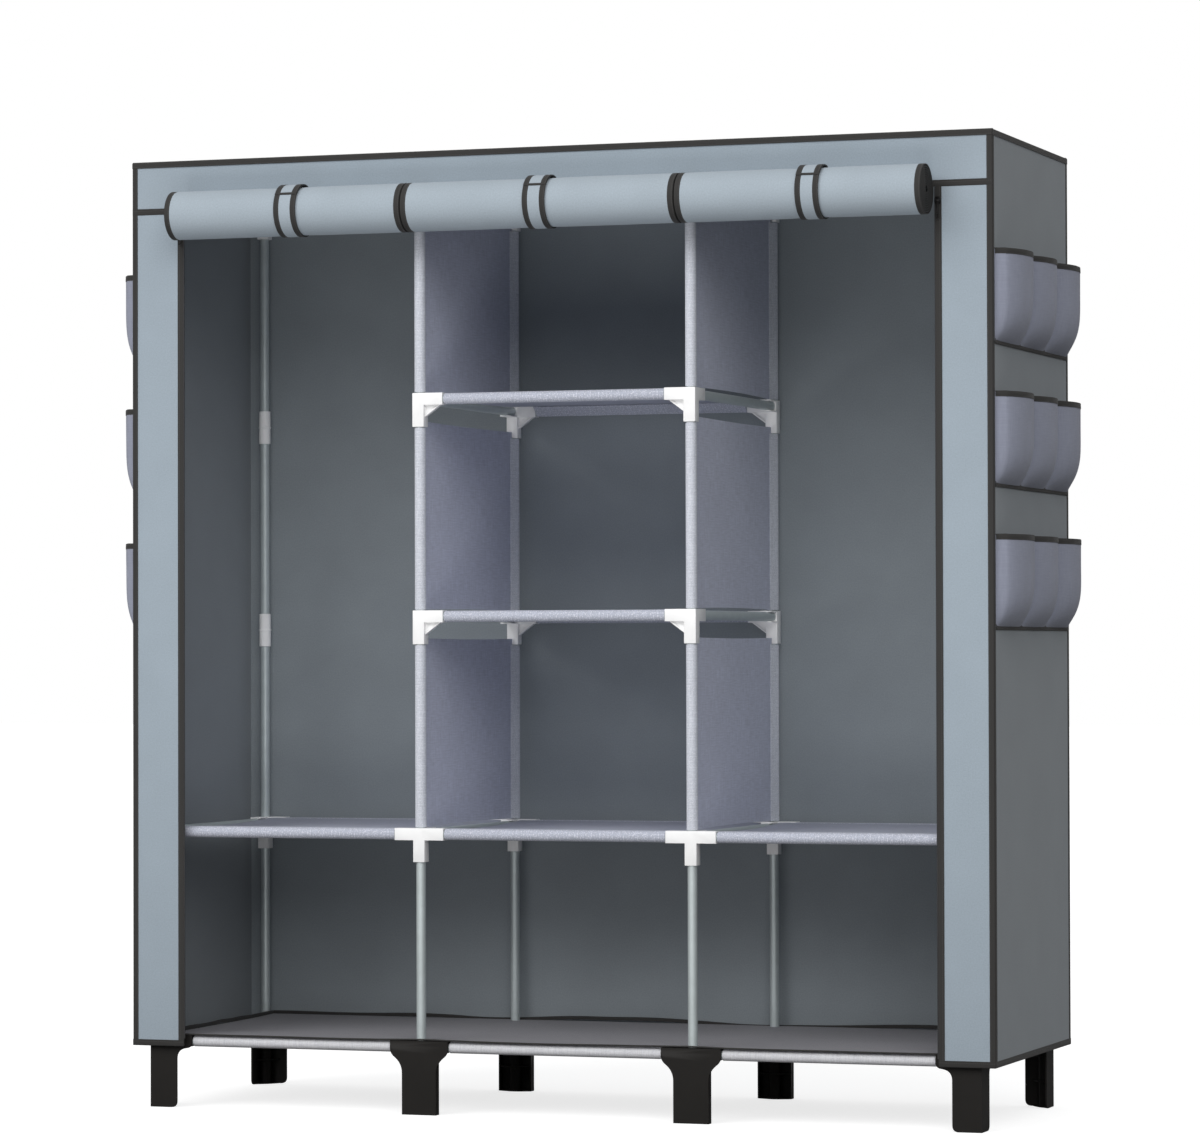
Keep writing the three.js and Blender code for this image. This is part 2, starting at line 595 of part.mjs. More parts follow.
const sideInside = coverSide - COVER_CLOTH;
const panelTop = coverTop - COVER_CLOTH - SEAT;
const acrossInside = [-sideInside + SEAT, sideInside - SEAT];
const alongSide = [coverFront, coverBack];
const upright = [COVER_BOTTOM, panelTop];
add("cover_top", panel("xy", [-coverSide, coverSide], alongSide, coverTop, 1), coverCloth);
add("cover_left", panel("yz", alongSide, upright, -coverSide, -1), coverCloth);
add("cover_right", panel("yz", alongSide, upright, coverSide, 1), coverCloth);
add("cover_back", panel("xz", acrossInside, upright, coverBack, 1), coverCloth);
add("cover_header", panel("xz", acrossInside, [seamZ, panelTop], coverFront, -1), coverCloth);
const stripX = [stripEdge, sideInside - SEAT];
const stripZ = [COVER_BOTTOM, seamZ - SEAT];
add("cover_strip_right", panel("xz", stripX, stripZ, coverFront, -1), coverCloth);
add("cover_strip_left", panel("xz", stripX.map((x) => -x).reverse(), stripZ, coverFront, -1), coverCloth);

// A rolled curtain: one sheet wound from the back of the roll down, round the front and inwards.
const rollPitch = (ROLL_RADIUS - ROLL_CLOTH - ROLL_CORE) / ROLL_TURNS;

function rollFace(offset) {
  const points = [];
  let turned = 0;
  while (turned <= 2 * Math.PI * ROLL_TURNS) {
    const radius = ROLL_RADIUS - offset - (rollPitch * turned) / (2 * Math.PI);
    points.push(new THREE.Vector2(radius * Math.cos(-turned), radius * Math.sin(-turned)));
    const share = 1 - turned / (2 * Math.PI * ROLL_TURNS);
    const stepsInTurn = Math.round(ROLL_INNER_STEPS + (ROLL_OUTER_STEPS - ROLL_INNER_STEPS) * share);
    turned += (2 * Math.PI) / stepsInTurn;
  }
  return points;
}

// The least distance between the outer face of one turn and the inner face of the turn round it.
function leastRollGap(outerFace, innerFace) {
  let least = Infinity;
  outerFace.forEach((point, i) => {
    innerFace.forEach((a, j) => {
      if (j + 1 === innerFace.length || j + ROLL_INNER_STEPS / 2 > i) return;
      const side = innerFace[j + 1].clone().sub(a);
      const along = THREE.MathUtils.clamp(point.clone().sub(a).dot(side) / side.lengthSq(), 0, 1);
      least = Math.min(least, side.multiplyScalar(along).add(a).distanceTo(point));
    });
  });
  return least;
}

const outerFace = rollFace(0);
const innerFace = rollFace(ROLL_CLOTH);
console.log(`least gap between the turns of a roll ${leastRollGap(outerFace, innerFace).toFixed(2)} mm`);
const rollShape = outline(
  [...outerFace, ...innerFace.reverse()].map((point) => [rollY + point.x, rollZ + point.y]),
);

function strap(x) {
  const backAngle = (radius) => THREE.MathUtils.radToDeg(Math.acos(ROLL_RADIUS / radius));
  const flapInner = strapInner + STRAP_CLOTH / 2;
  const flap = ringPart(rollY, rollZ, flapInner, flapOuter, backAngle(flapOuter), STRAP_FLAP_ANGLE);
  const legEnd = 360 - backAngle(strapOuter);
  const leg = ringPart(rollY, rollZ, strapInner, strapOuter, STRAP_LEG_ANGLE, legEnd);
  const width = [x - STRAP_WIDTH / 2, x + STRAP_WIDTH / 2];
  return join([prism(flap, "yz", width, FLAP_STEPS), prism(leg, "yz", width, LEG_STEPS)]);
}

const rollEdge = stripEdge - CURTAIN_EDGE_GAP;
const meetings = [-BAY_PITCH / 2 + ROLL_MIDDLE_SHIFT, BAY_PITCH / 2 + ROLL_MIDDLE_SHIFT];
const rollSpans = {
  left: [-rollEdge, meetings[0] - CURTAIN_GAP / 2],
  middle: [meetings[0] + CURTAIN_GAP / 2, meetings[1] - CURTAIN_GAP / 2],
  right: [meetings[1] + CURTAIN_GAP / 2, rollEdge],
};
for (const bay of bays) {
  const [from, to] = rollSpans[bay];
  add(`curtain_${bay}`, prism(rollShape, "yz", [from, to]), coverCloth);
  add(`tie_strap_${bay}`, strap((from + to) / 2 + STRAP_SHIFTS[bay]), coverCloth);
}

// A row of pockets: one sheet sewn to the side between the pockets and along the bottom,
// full at its open top.
function pocketRow(outward, topZ) {
  const yEnds = [coverFront + BINDING_WIDTH + SEAT, coverBack - BINDING_WIDTH - SEAT];
  const columns = POCKET_COUNT * POCKET_COLUMNS;
  const rows = POCKET_HEIGHT_SHARES.length;
  const positions = [];
  for (const cloth of [POCKET_CLOTH, 0])
    for (const height of POCKET_HEIGHT_SHARES)
      for (let i = 0; i <= columns; i += 1) {
        const across = Math.abs(Math.sin((Math.PI * i) / POCKET_COLUMNS)) ** POCKET_ROUND_POWER;
        const belly = 1 - (1 - height) ** POCKET_BELLY_POWER;
        const atSeam = i % POCKET_COLUMNS === 0;
        const bulge = atSeam ? 0 : POCKET_BULGE * across * belly;
        const x = outward * (coverSide + SEAT + cloth + bulge);
        const y = yEnds[0] + (i / columns) * (yEnds[1] - yEnds[0]);
        positions.push(x, y, topZ - (1 - height) * POCKET_HEIGHT);
      }
  const stride = columns + 1;
  const layer = rows * stride;
  const index = [];
  const quad = (a, b, c, d) => index.push(...(outward > 0 ? [a, b, c, a, c, d] : [a, c, b, a, d, c]));
  for (let j = 0; j + 1 < rows; j += 1)
    for (let i = 0; i < columns; i += 1) {
      const a = j * stride + i;
      quad(a, a + 1, a + 1 + stride, a + stride);
      quad(layer + a, layer + a + stride, layer + a + 1 + stride, layer + a + 1);
    }
  for (let i = 0; i < columns; i += 1) {
    const top = (rows - 1) * stride + i;
    quad(i, layer + i, layer + i + 1, i + 1);
    quad(top, top + 1, layer + top + 1, layer + top);
  }
  for (let j = 0; j + 1 < rows; j += 1) {
    const first = j * stride;
    const last = first + columns;
    quad(first, first + stride, layer + first + stride, layer + first);
    quad(last, layer + last, layer + last + stride, last + stride);
  }
  const geometry = new THREE.BufferGeometry();
  geometry.setAttribute("position", new THREE.Float32BufferAttribute(positions, 3));
  geometry.setIndex(index);
  return solid(geometry);
}
["upper", "middle", "lower"].forEach((row, i) => {
  const topZ = coverTop - POCKET_TOP_DROP - i * POCKET_ROW_PITCH;
  add(`pocket_row_left_${row}`, pocketRow(-1, topZ), pocketCloth);
  add(`pocket_row_right_${row}`, pocketRow(1, topZ), pocketCloth);
});

// Zips: a slider wraps the inner edge of a strip, and its pull swings on a bar between two ears.
const sliderZ = seamZ - ZIP_DROP;
const sliderBack = coverFront + COVER_CLOTH + SEAT;
const sliderFront = coverFront - BINDING_PROUD - SEAT;
const eyeInner = PULL_BAR_DIAMETER / 2 + PULL_PLAY;
const eyeOuter = eyeInner + PULL_EYE_WALL;
const barY = sliderFront - SLIDER_PLATE - SEAT - eyeOuter;

function zip(side, outward) {
  const edge = outward * stripEdge;
  const inner = edge - outward * (SEAT + SLIDER_PLATE);
  const outer = inner + outward * SLIDER_WIDTH;
  const middle = (inner + outer) / 2;
  const z = [sliderZ - SLIDER_HEIGHT / 2, sliderZ + SLIDER_HEIGHT / 2];
  const plateX = span(inner, outer);
  const earZ = [sliderZ - eyeOuter, sliderZ + eyeOuter];
  const earInner = PULL_WIDTH / 2 + PULL_PLAY;
  const ears = [-1, 1].map((way) => {
    const x = span(middle + way * earInner, middle + way * (earInner + EAR_WIDTH));
    return block(x, [barY - eyeInner, sliderFront - SLIDER_PLATE / 2], earZ);
  });
  const slider = join([
    block(plateX, [sliderFront - SLIDER_PLATE, sliderFront], z),
    block(plateX, [sliderBack, sliderBack + SLIDER_PLATE], z),
    block(span(inner, inner + outward * SLIDER_PLATE), [sliderFront - SLIDER_PLATE, sliderBack + SLIDER_PLATE], z),
    ...ears,
    bar("x", PULL_BAR_DIAMETER / 2, middle - earInner - EAR_WIDTH / 2, middle + earInner + EAR_WIDTH / 2,
      [barY, sliderZ], SMALL_SIDES),
  ]);
  add(`zip_slider_${side}`, slider, darkMetal);

  const pullX = [middle - PULL_WIDTH / 2, middle + PULL_WIDTH / 2];
  const tabZ = [sliderZ - PULL_LENGTH, sliderZ - eyeInner - PULL_EYE_WALL / 2];
  const pull = join([
    bar("x", eyeOuter, ...pullX, [barY, sliderZ], SMALL_SIDES),
    block(pullX, [barY - PULL_THICKNESS / 2, barY + PULL_THICKNESS / 2], tabZ),
  ]);
  const eye = bar("x", eyeInner, pullX[0] - CUT_OVERRUN, pullX[1] + CUT_OVERRUN, [barY, sliderZ], SMALL_SIDES);
  add(`zip_pull_${side}`, pull.subtract(eye), darkMetal);
}
zip("left", -1);
zip("right", 1);

export default wardrobe;
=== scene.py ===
"""Portable fabric wardrobe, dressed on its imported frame.

Four ladders of steel tube stand in moulded feet and carry moulded connectors with the cross rods.
Sewn shelves, partitions and a box-shaped cover hang on that frame. The front curtains are rolled
up under the header. All sizes are metres, +Z up, and the front faces -Y.
"""

import logging
import math
from collections.abc import Callable, Sequence
from dataclasses import dataclass
from enum import Enum
from typing import Any

import bpy
from mathutils import Matrix, Vector, noise


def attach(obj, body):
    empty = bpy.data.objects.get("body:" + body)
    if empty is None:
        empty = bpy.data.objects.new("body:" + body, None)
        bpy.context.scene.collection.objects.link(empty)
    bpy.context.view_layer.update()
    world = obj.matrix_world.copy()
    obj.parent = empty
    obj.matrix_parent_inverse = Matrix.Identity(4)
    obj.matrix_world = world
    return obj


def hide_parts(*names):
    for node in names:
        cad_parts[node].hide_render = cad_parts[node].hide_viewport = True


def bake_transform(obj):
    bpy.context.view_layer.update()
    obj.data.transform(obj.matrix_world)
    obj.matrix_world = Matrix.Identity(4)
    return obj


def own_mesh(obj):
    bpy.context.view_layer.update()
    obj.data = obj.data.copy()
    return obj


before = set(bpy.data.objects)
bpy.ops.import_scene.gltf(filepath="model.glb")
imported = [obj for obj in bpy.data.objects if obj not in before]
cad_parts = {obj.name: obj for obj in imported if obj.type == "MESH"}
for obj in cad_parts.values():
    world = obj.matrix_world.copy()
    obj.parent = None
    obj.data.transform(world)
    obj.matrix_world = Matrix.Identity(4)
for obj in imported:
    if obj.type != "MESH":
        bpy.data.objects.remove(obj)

LOG = logging.getLogger("wardrobe")
ROOT = "frame_and_cover"

X = Vector((1.0, 0.0, 0.0))
Y = Vector((0.0, 1.0, 0.0))
Z = Vector((0.0, 0.0, 1.0))

MERGE = 1e-6
OVERRUN = 0.01
POCKET_TOP = 0.189
POCKET_PITCH = 0.227

Piece = bpy.types.Object
Material = bpy.types.Material
Colour = tuple[float, float, float]
Place = Callable[[float, float], Vector]


class Named(Enum):
    """A choice that the frame's names use too."""

    @property
    def label(self) -> str:
        """The choice as the frame writes it."""
        return self.name.lower()


class Row(Named):
    """The front or the back row of posts, by its distance along Y."""

    FRONT = -0.1796
    BACK = 0.2644

    @property
    def inward(self) -> float:
        """1 where the inside lies towards +Y, and -1 where it lies towards -Y."""
        return 1.0 if self is Row.FRONT else -1.0


class Level(Named):
    """A level of connectors, by the height of its top."""

    LOWER = 0.473
    MIDDLE = 0.833
    UPPER = 1.193
    TOP = 1.589

    @property
    def axis(self) -> float:
        """Height of the rods' axes on this level."""
        return self.value - 0.010

    @property
    def is_narrow(self) -> bool:
        """True where only the middle bay has a shelf."""
        return self in (Level.MIDDLE, Level.UPPER)

    @property
    def connector_height(self) -> float:
        """Height of the connectors on this level."""
        return 0.090 if self is Level.TOP else 0.056


class Post(Named):
    """A post of the front or back row, by its place along X."""

    LEFT_OUTER = -0.7095
    LEFT_INNER = -0.2365
    RIGHT_INNER = 0.2365
    RIGHT_OUTER = 0.7095

    @property
    def is_outer(self) -> bool:
        """True for the posts at the two sides of the wardrobe."""
        return self.name.endswith("OUTER")


class Side(Named):
    """The left or the right side, by its sign along X."""

    LEFT = -1.0
    RIGHT = 1.0


class Weave(Enum):
    """How a cloth is made."""

    BONDED = "bonded fibres with an embossed dot"
    PLAIN = "plain weave with uneven threads"


BAYS = {
    "left": (Post.LEFT_OUTER, Post.LEFT_INNER),
    "middle": (Post.LEFT_INNER, Post.RIGHT_INNER),
    "right": (Post.RIGHT_INNER, Post.RIGHT_OUTER),
}


@dataclass(frozen=True)
class Tubing:
    """The steel tube that the whole frame is made of, and how it fits into what holds it."""

    radius: float = 0.008
    wall: float = 0.0008
    sides: int = 32
    clearance: float = 0.0003
    rod_inset: float = 0.0105
    cloth_inset: float = 0.0116

    @property
    def bore(self) -> float:
        """Radius of a socket that takes the tube."""
        return self.radius + self.clearance


@dataclass(frozen=True)
class CoverBox:
    """The outer faces of the sewn cover, and the sizes of its cloth."""

    front: float = -0.2036
    back: float = 0.2894
    side: float = 0.748
    top: float = 1.5908
    bottom: float = 0.105
    seam: float = 1.5038
    strip_edge: float = 0.656
    cloth: float = 0.0008
    binding: float = 0.009
    tape: float = 0.0008
    layer: float = 0.0003


TUBING = Tubing()
BOX = CoverBox()


# ---------------------------------------------------------------- modelling bench


def deselect() -> None:
    """Leave edit mode and deselect every object."""
    if bpy.context.object is not None and bpy.context.object.mode != "OBJECT":
        bpy.ops.object.mode_set(mode="OBJECT")
    bpy.ops.object.select_all(action="DESELECT")


def take(piece: Piece) -> None:
    """Make one piece the only selected object and the active one."""
    deselect()
    piece.select_set(True)
    bpy.context.view_layer.objects.active = piece


def settled(name: str) -> Piece:
    """Name the primitive that was just added and move its place into its mesh.

    Args:
        name: The piece's name.

    Returns:
        The piece, at the origin.
    """
    piece = bpy.context.object
    piece.name = name
    piece.data.name = name
    bpy.ops.object.transform_apply(location=True, rotation=True, scale=True)
    return piece


def shaped(piece: Piece, kind: str, **settings: Any) -> Piece:
    """Apply one modifier to a piece.

    Args:
        piece: The piece to shape.
        kind: Type of the modifier.
        **settings: Values set on the modifier before it is applied.

    Returns:
        The same piece.
    """
    take(piece)
    modifier = piece.modifiers.new(kind.lower(), kind)
    for key, value in settings.items():
        setattr(modifier, key, value)
    bpy.ops.object.modifier_apply(modifier=modifier.name)
    return piece


def bevelled(piece: Piece, width: float, segments: int = 2, degrees: float = 42.0) -> Piece:
    """Bevel the edges of a piece that are sharper than an angle."""
    limit = math.radians(degrees)
    return shaped(
        piece, "BEVEL", width=width, segments=segments, limit_method="ANGLE", angle_limit=limit
    )


def smoothed(piece: Piece, degrees: float = 38.0) -> Piece:
    """Shade a piece smooth except over edges sharper than an angle."""
    take(piece)
    bpy.ops.object.shade_smooth_by_angle(angle=math.radians(degrees))
    return piece


def faced_out(piece: Piece, merge: float = 0.0) -> Piece:
    """Merge doubled points where asked, and turn every face outwards.

    Args:
        piece: A closed piece.
        merge: Distance under which points are merged, or 0 for none.

    Returns:
        The same piece.
    """
    take(piece)
    bpy.ops.object.mode_set(mode="EDIT")
    bpy.ops.mesh.select_all(action="SELECT")
    if merge:
        bpy.ops.mesh.remove_doubles(threshold=merge)
    bpy.ops.mesh.normals_make_consistent(inside=False)
    bpy.ops.object.mode_set(mode="OBJECT")
    return piece


def joined(parts: Sequence[Piece], name: str) -> Piece:
    """Join pieces of the same finish into one object."""
    deselect()
    for part in parts:
        part.select_set(True)
    bpy.context.view_layer.objects.active = parts[0]
    if len(parts) > 1:
        bpy.ops.object.join()
    parts[0].name = name
    parts[0].data.name = name
    return parts[0]


def united(parts: Sequence[Piece], cuts: Sequence[Piece]) -> Piece:
    """Unite solids into the first one and cut others away from it.

    Args:
        parts: Solids that overlap.
        cuts: Solids taken away from their union.

    Returns:
        The first part, now the whole.
    """
    whole = parts[0]
    for operation, others in (("UNION", parts[1:]), ("DIFFERENCE", cuts)):
        for other in others:
            shaped(whole, "BOOLEAN", operation=operation, object=other, solver="EXACT")
            bpy.data.objects.remove(other)
    return whole


def moulded(
    name: str, parts: Sequence[Piece], cuts: Sequence[Piece], edge: float, degrees: float = 42.0
) -> Piece:
    """Unite a moulded part, cut its hollows and soften its edges.

    Args:
        name: The part's name.
        parts: Solids that overlap.
        cuts: Solids taken away from their union.
        edge: Width of the bevel on its edges.
        degrees: Edges sharper than this are bevelled.

    Returns:
        The part.
    """
    whole = faced_out(united(parts, cuts), MERGE)
    whole.name = name
    return smoothed(bevelled(whole, edge, 2, degrees))


def copied(piece: Piece, name: str, matrix: Matrix) -> Piece:
    """Copy a piece with its own mesh.

    Args:
        piece: The piece that is repeated.
        name: The copy's name.
        matrix: Where the copy goes, seen from the piece.

    Returns:
        The copy, with its place in its mesh.
    """
    made = piece.copy()
    made.data = piece.data.copy()
    made.name = name
    made.data.name = name
    made.data.transform(matrix)
    if matrix.determinant() < 0:
        made.data.flip_normals()
    bpy.context.scene.collection.objects.link(made)
    return made


def block(name: str, low: Sequence[float], high: Sequence[float]) -> Piece:
    """A block between two corners, to be united with others."""
    deselect()
    corners = [sorted(pair) for pair in zip(low, high)]
    size = [top - bottom for bottom, top in corners]
    middle = [(top + bottom) / 2 for bottom, top in corners]
    bpy.ops.mesh.primitive_cube_add(size=1.0, location=middle, scale=size)
    return settled(name)


def bar(name: str, start: Vector, end: Vector, radius: float, sides: int = 32) -> Piece:
    """A solid round bar from one point to another, to be united with others."""
    deselect()
    along = end - start
    turn = along.to_track_quat("Z", "Y").to_euler()
    bpy.ops.mesh.primitive_cylinder_add(
        vertices=sides, radius=radius, depth=along.length, location=(start + end) / 2, rotation=turn
    )
    return settled(name)


def rod_line(start: float, end: float, row: Row, z: float) -> tuple[Vector, Vector]:
    """The axis of a rod along a row between two places along X, at a height."""
    return Vector((start, row.value, z)), Vector((end, row.value, z))


def tube(
    name: str,
    start: Vector,
    end: Vector,
    radius: float = TUBING.radius,
    wall: float = TUBING.wall,
) -> Piece:
    """A round tube with a wall, its ends softly rounded.

    Args:
        name: The tube's name.
        start: One end of its axis.
        end: The other end of its axis.
        radius: Its outer radius.
        wall: Thickness of its wall.

    Returns:
        The tube.
    """
    deselect()
    along = end - start
    turn = along.to_track_quat("Z", "Y").to_euler()
    bpy.ops.mesh.primitive_cylinder_add(
        vertices=TUBING.sides,
        radius=radius - wall / 2,
        depth=along.length,
        end_fill_type="NOTHING",
        location=(start + end) / 2,
        rotation=turn,
    )
    made = settled(name)
    shaped(made, "SOLIDIFY", thickness=wall, offset=0.0, use_even_offset=True)
    faced_out(made)
    return smoothed(bevelled(made, wall * 0.3, 1, 60.0))


def plate(name: str, points: Sequence[Vector], push: Vector) -> Piece:
    """A flat outline pushed out into a plate.

    Args:
        name: The plate's name.
        points: Corners of the outline in order.
        push: Thickness and direction of the extrusion.

    Returns:
        The plate.
    """
    deselect()
    bpy.ops.mesh.primitive_circle_add(vertices=len(points), radius=1.0, fill_type="NGON")
    made = settled(name)
    for vertex, point in zip(made.data.vertices, points):
        vertex.co = point
    take(made)
    bpy.ops.object.mode_set(mode="EDIT")
    bpy.ops.mesh.select_all(action="SELECT")
    bpy.ops.mesh.extrude_region_move(TRANSFORM_OT_translate={"value": push})
    bpy.ops.mesh.select_all(action="SELECT")
    bpy.ops.mesh.normals_make_consistent(inside=False)
    bpy.ops.object.mode_set(mode="OBJECT")
    return made


def rounded(
    corners: Sequence[tuple[float, float, float]], steps: int = 7
) -> list[tuple[float, float]]:
    """Round the corners of an outline.

    Args:
        corners: Each corner as u, v and the distance over which it is rounded.
        steps: Steps of each curve.

    Returns:
        The outline's points.
    """
    points: list[tuple[float, float]] = []
    count = len(corners)
    for i, (u, v, reach) in enumerate(corners):
        corner = Vector((u, v))
        if not reach:
            points.append((u, v))
            continue
        before = (Vector(corners[i - 1][:2]) - corner).normalized() * reach
        after = (Vector(corners[(i + 1) % count][:2]) - corner).normalized() * reach
        for step in range(steps + 1):
            share = step / steps
            point = corner + before * (1 - share) ** 2 + after * share**2
            points.append((point.x, point.y))
    return points


def mirrored(
    edge: Sequence[tuple[float, float, float]], middle: float = 0.0
) -> list[tuple[float, float, float]]:
    """Complete an outline with the mirror image of its right edge.

    Args:
        edge: The edge's corners, as the distance from the middle, the height and the rounding.
        middle: Place of the middle.

    Returns:
        All corners of the outline.
    """
    right = [(middle + u, v, reach) for u, v, reach in edge]
    return right + [(middle - u, v, reach) for u, v, reach in edge[::-1]]


def cloth(
    name: str,
    cells: tuple[int, int],
    size: tuple[float, float],
    place: Place,
    thickness: float,
    finish: Material,
    lining: Material | None = None,
    across: Sequence[float] | None = None,
) -> Piece:
    """A sheet of cloth shaped from a flat grid, with a UV map in metres.

    Args:
        name: The sheet's name.
        cells: Faces across and along.
        size: Width and length of the flat sheet.
        place: Gives the point of the middle of the cloth at a share across and a share along.
        thickness: Thickness of the cloth.
        finish: Finish of the face that looks along across x along.
        lining: Finish of the other face, where it differs.
        across: Distances of the grid's columns from the middle, where they are uneven.

    Returns:
        The sheet, closed round its edges.
    """
    deselect()
    bpy.ops.mesh.primitive_grid_add(x_subdivisions=cells[0], y_subdivisions=cells[1], size=2.0)
    made = settled(name)
    for vertex in made.data.vertices:
        vertex.co = place((vertex.co.x + 1) / 2, (vertex.co.y + 1) / 2)
    for loop in made.data.uv_layers.active.data:
        u, v = loop.uv
        loop.uv = (across[round(u * cells[0])] if across else u * size[0], v * size[1])
    made.data.materials.append(finish)
    if lining is not None:
        made.data.materials.append(lining)
    shaped(
        made,
        "SOLIDIFY",
        thickness=thickness,
        offset=0.0,
        use_even_offset=True,
        material_offset=0 if lining is None else 1,
    )
    faced_out(made)
    return smoothed(made, 50.0)


def ribbon(
    name: str,
    section: Sequence[Vector],
    start: Vector,
    end: Vector,
    finish: Material,
    thickness: float,
    steps: int = 24,
    sway: Callable[[float], Vector] | None = None,
    is_cloth: bool = True,
) -> Piece:
    """A folded strip of tape along a straight seam.

    Args:
        name: The strip's name.
        section: Points of its section, seen from the seam.
        start: Where the seam starts.
        end: Where the seam ends.
        finish: The tape's finish.
        thickness: The tape's thickness.
        steps: Faces along the seam.
        sway: Gives how far the seam leaves the straight line at a share along it.
        is_cloth: False for a moulded strip; it makes no difference to the strip.

    Returns:
        The strip.
    """
    lengths = [0.0]
    for before, after in zip(section, section[1:]):
        lengths.append(lengths[-1] + (after - before).length)
    total = lengths[-1]
    columns = len(section) - 1

    def place(u: float, v: float) -> Vector:
        """The strip's point at a share across and along."""
        offset = sway(v) if sway else Vector()
        return start.lerp(end, v) + offset + section[round(u * columns)]

    made = cloth(
        name,
        (columns, steps),
        (total, (end - start).length),
        place,
        thickness,
        finish,
        across=[length - total / 2 for length in lengths],
    )
    if is_cloth:
        (end - start).length
    return made


def arc(
    first: Vector, second: Vector, radius: float, start: float, sweep: float, steps: int
) -> list[Vector]:
    """Points along an arc.

    Args:
        first: Direction at 0 degrees.
        second: Direction at 90 degrees.
        radius: Radius of the arc.
        start: Angle of the first point, in degrees.
        sweep: Degrees that the arc goes round.
        steps: Steps between its points.

    Returns:
        The points, seen from the arc's centre.
    """
    angles = [math.radians(start + sweep * step / steps) for step in range(steps + 1)]
    return [
        first * (radius * math.cos(angle)) + second * (radius * math.sin(angle))
        for angle in angles
    ]


def corner_section(first: Vector, second: Vector, width: float, lift: float) -> list[Vector]:
    """The section of a tape folded over the edge between two faces.

    Args:
        first: Outward normal of one face.
        second: Outward normal of the other.
        width: How far the tape reaches over each face.
        lift: Height of the tape's middle over the faces.

    Returns:
        The points of the section, seen from the edge.
    """
    bend = 0.0014
    centre = (first + second) * bend
    return [
        first * lift - second * width,
        first * lift - second * (width * 0.5),
        *(point - centre for point in arc(first, second, bend + lift, 0.0, 90.0, 4)),
        second * lift - first * (width * 0.5),
        second * lift - first * width,
    ]


def hem_section(outward: Vector, inward: Vector, width: float, lift: float) -> list[Vector]:
    """The section of a tape folded over a free edge of a sheet.

    Args:
        outward: Normal of the sheet.
        inward: Direction from the edge into the sheet.
        width: How far the tape reaches over the sheet.
        lift: Distance of the tape's middle from the middle of the sheet.

    Returns:
        The points of the section, seen from the edge.
    """
    return [
        outward * lift + inward * width,
        outward * lift + inward * (width * 0.5),
        *arc(outward, -inward, lift, 0.0, 180.0, 6),
        inward * (width * 0.5) - outward * lift,
        inward * width - outward * lift,
    ]


def placed(
    piece: Piece, nodes: Sequence[str] = (), body: str = ROOT
) -> Piece:
    """Let a finished piece ride on its body, and hide the frame's nodes that it replaces.

    Args:
        piece: The finished piece.
        nodes: The frame's nodes that it replaces.
        body: The body that it moves with.

    Returns:
        The same piece.
    """
    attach(piece, body)
    if nodes:
        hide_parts(*nodes)
    LOG.info("%s: %d faces on %s", piece.name, len(piece.data.polygons), body)
    return piece


def dressed(piece: Piece, finish: Material) -> Piece:
    """Give a hard piece its finish."""
    piece.data.materials.clear()
    piece.data.materials.append(finish)
    return piece


# ---------------------------------------------------------------- finishes


def linear(colour: Colour) -> tuple[float, float, float, float]:
    """A colour in 0-255 screen values as the shader takes it."""
    shares = [value / 255 for value in colour]
    values = [
        share / 12.92 if share <= 0.04045 else ((share + 0.055) / 1.055) ** 2.4
        for share in shares
    ]
    return values[0], values[1], values[2], 1.0


def toned(colour: Colour, share: float) -> Colour:
    """A colour made lighter or darker by a share of itself."""
    red, green, blue = (min(255.0, value * share) for value in colour)
    return red, green, blue


class Wire:
    """One output of a node, on which maths is written in plain expressions."""

    def __init__(self, recipe: "Recipe", socket: bpy.types.NodeSocket) -> None:
        """Keep the recipe that the socket belongs to."""
        self.recipe = recipe
        self.socket = socket

    def _with(
        self, operation: str, first: "Wire | float", second: "Wire | float" = 0.0
    ) -> "Wire":
        """Add one Math node."""
        return self.recipe.wire("ShaderNodeMath", {"operation": operation}, {0: first, 1: second})

    def __add__(self, other: "Wire | float") -> "Wire":
        """Sum."""
        return self._with("ADD", self, other)

    def __radd__(self, other: float) -> "Wire":
        """Sum with a number on the left."""
        return self._with("ADD", other, self)

    def __sub__(self, other: "Wire | float") -> "Wire":
        """Difference."""
        return self._with("SUBTRACT", self, other)

    def __rsub__(self, other: float) -> "Wire":
        """Difference from a number."""
        return self._with("SUBTRACT", other, self)

    def __mul__(self, other: "Wire | float") -> "Wire":
        """Product."""
        return self._with("MULTIPLY", self, other)

    def __rmul__(self, other: float) -> "Wire":
        """Product with a number on the left."""
        return self._with("MULTIPLY", other, self)

    def __truediv__(self, other: "Wire | float") -> "Wire":
        """Quotient."""
        return self._with("DIVIDE", self, other)

    def __rtruediv__(self, other: float) -> "Wire":
        """Quotient with a number on the left."""
        return self._with("DIVIDE", other, self)

    def size(self) -> "Wire":
        """The value without its sign."""
        return self._with("ABSOLUTE", self)

    def wave(self) -> "Wire":
        """The sine of the value."""
        return self._with("SINE", self)

    def below(self, limit: float) -> "Wire":
        """1 where the value is under a limit, and 0 elsewhere."""
        return self._with("LESS_THAN", self, limit)

    def above(self, limit: float) -> "Wire":
        """1 where the value is over a limit, and 0 elsewhere."""
        return self._with("GREATER_THAN", self, limit)

    def part(self, step: float) -> "Wire":
        """The value's share of the step that it lies in."""
        return self._with("FRACT", self / step)


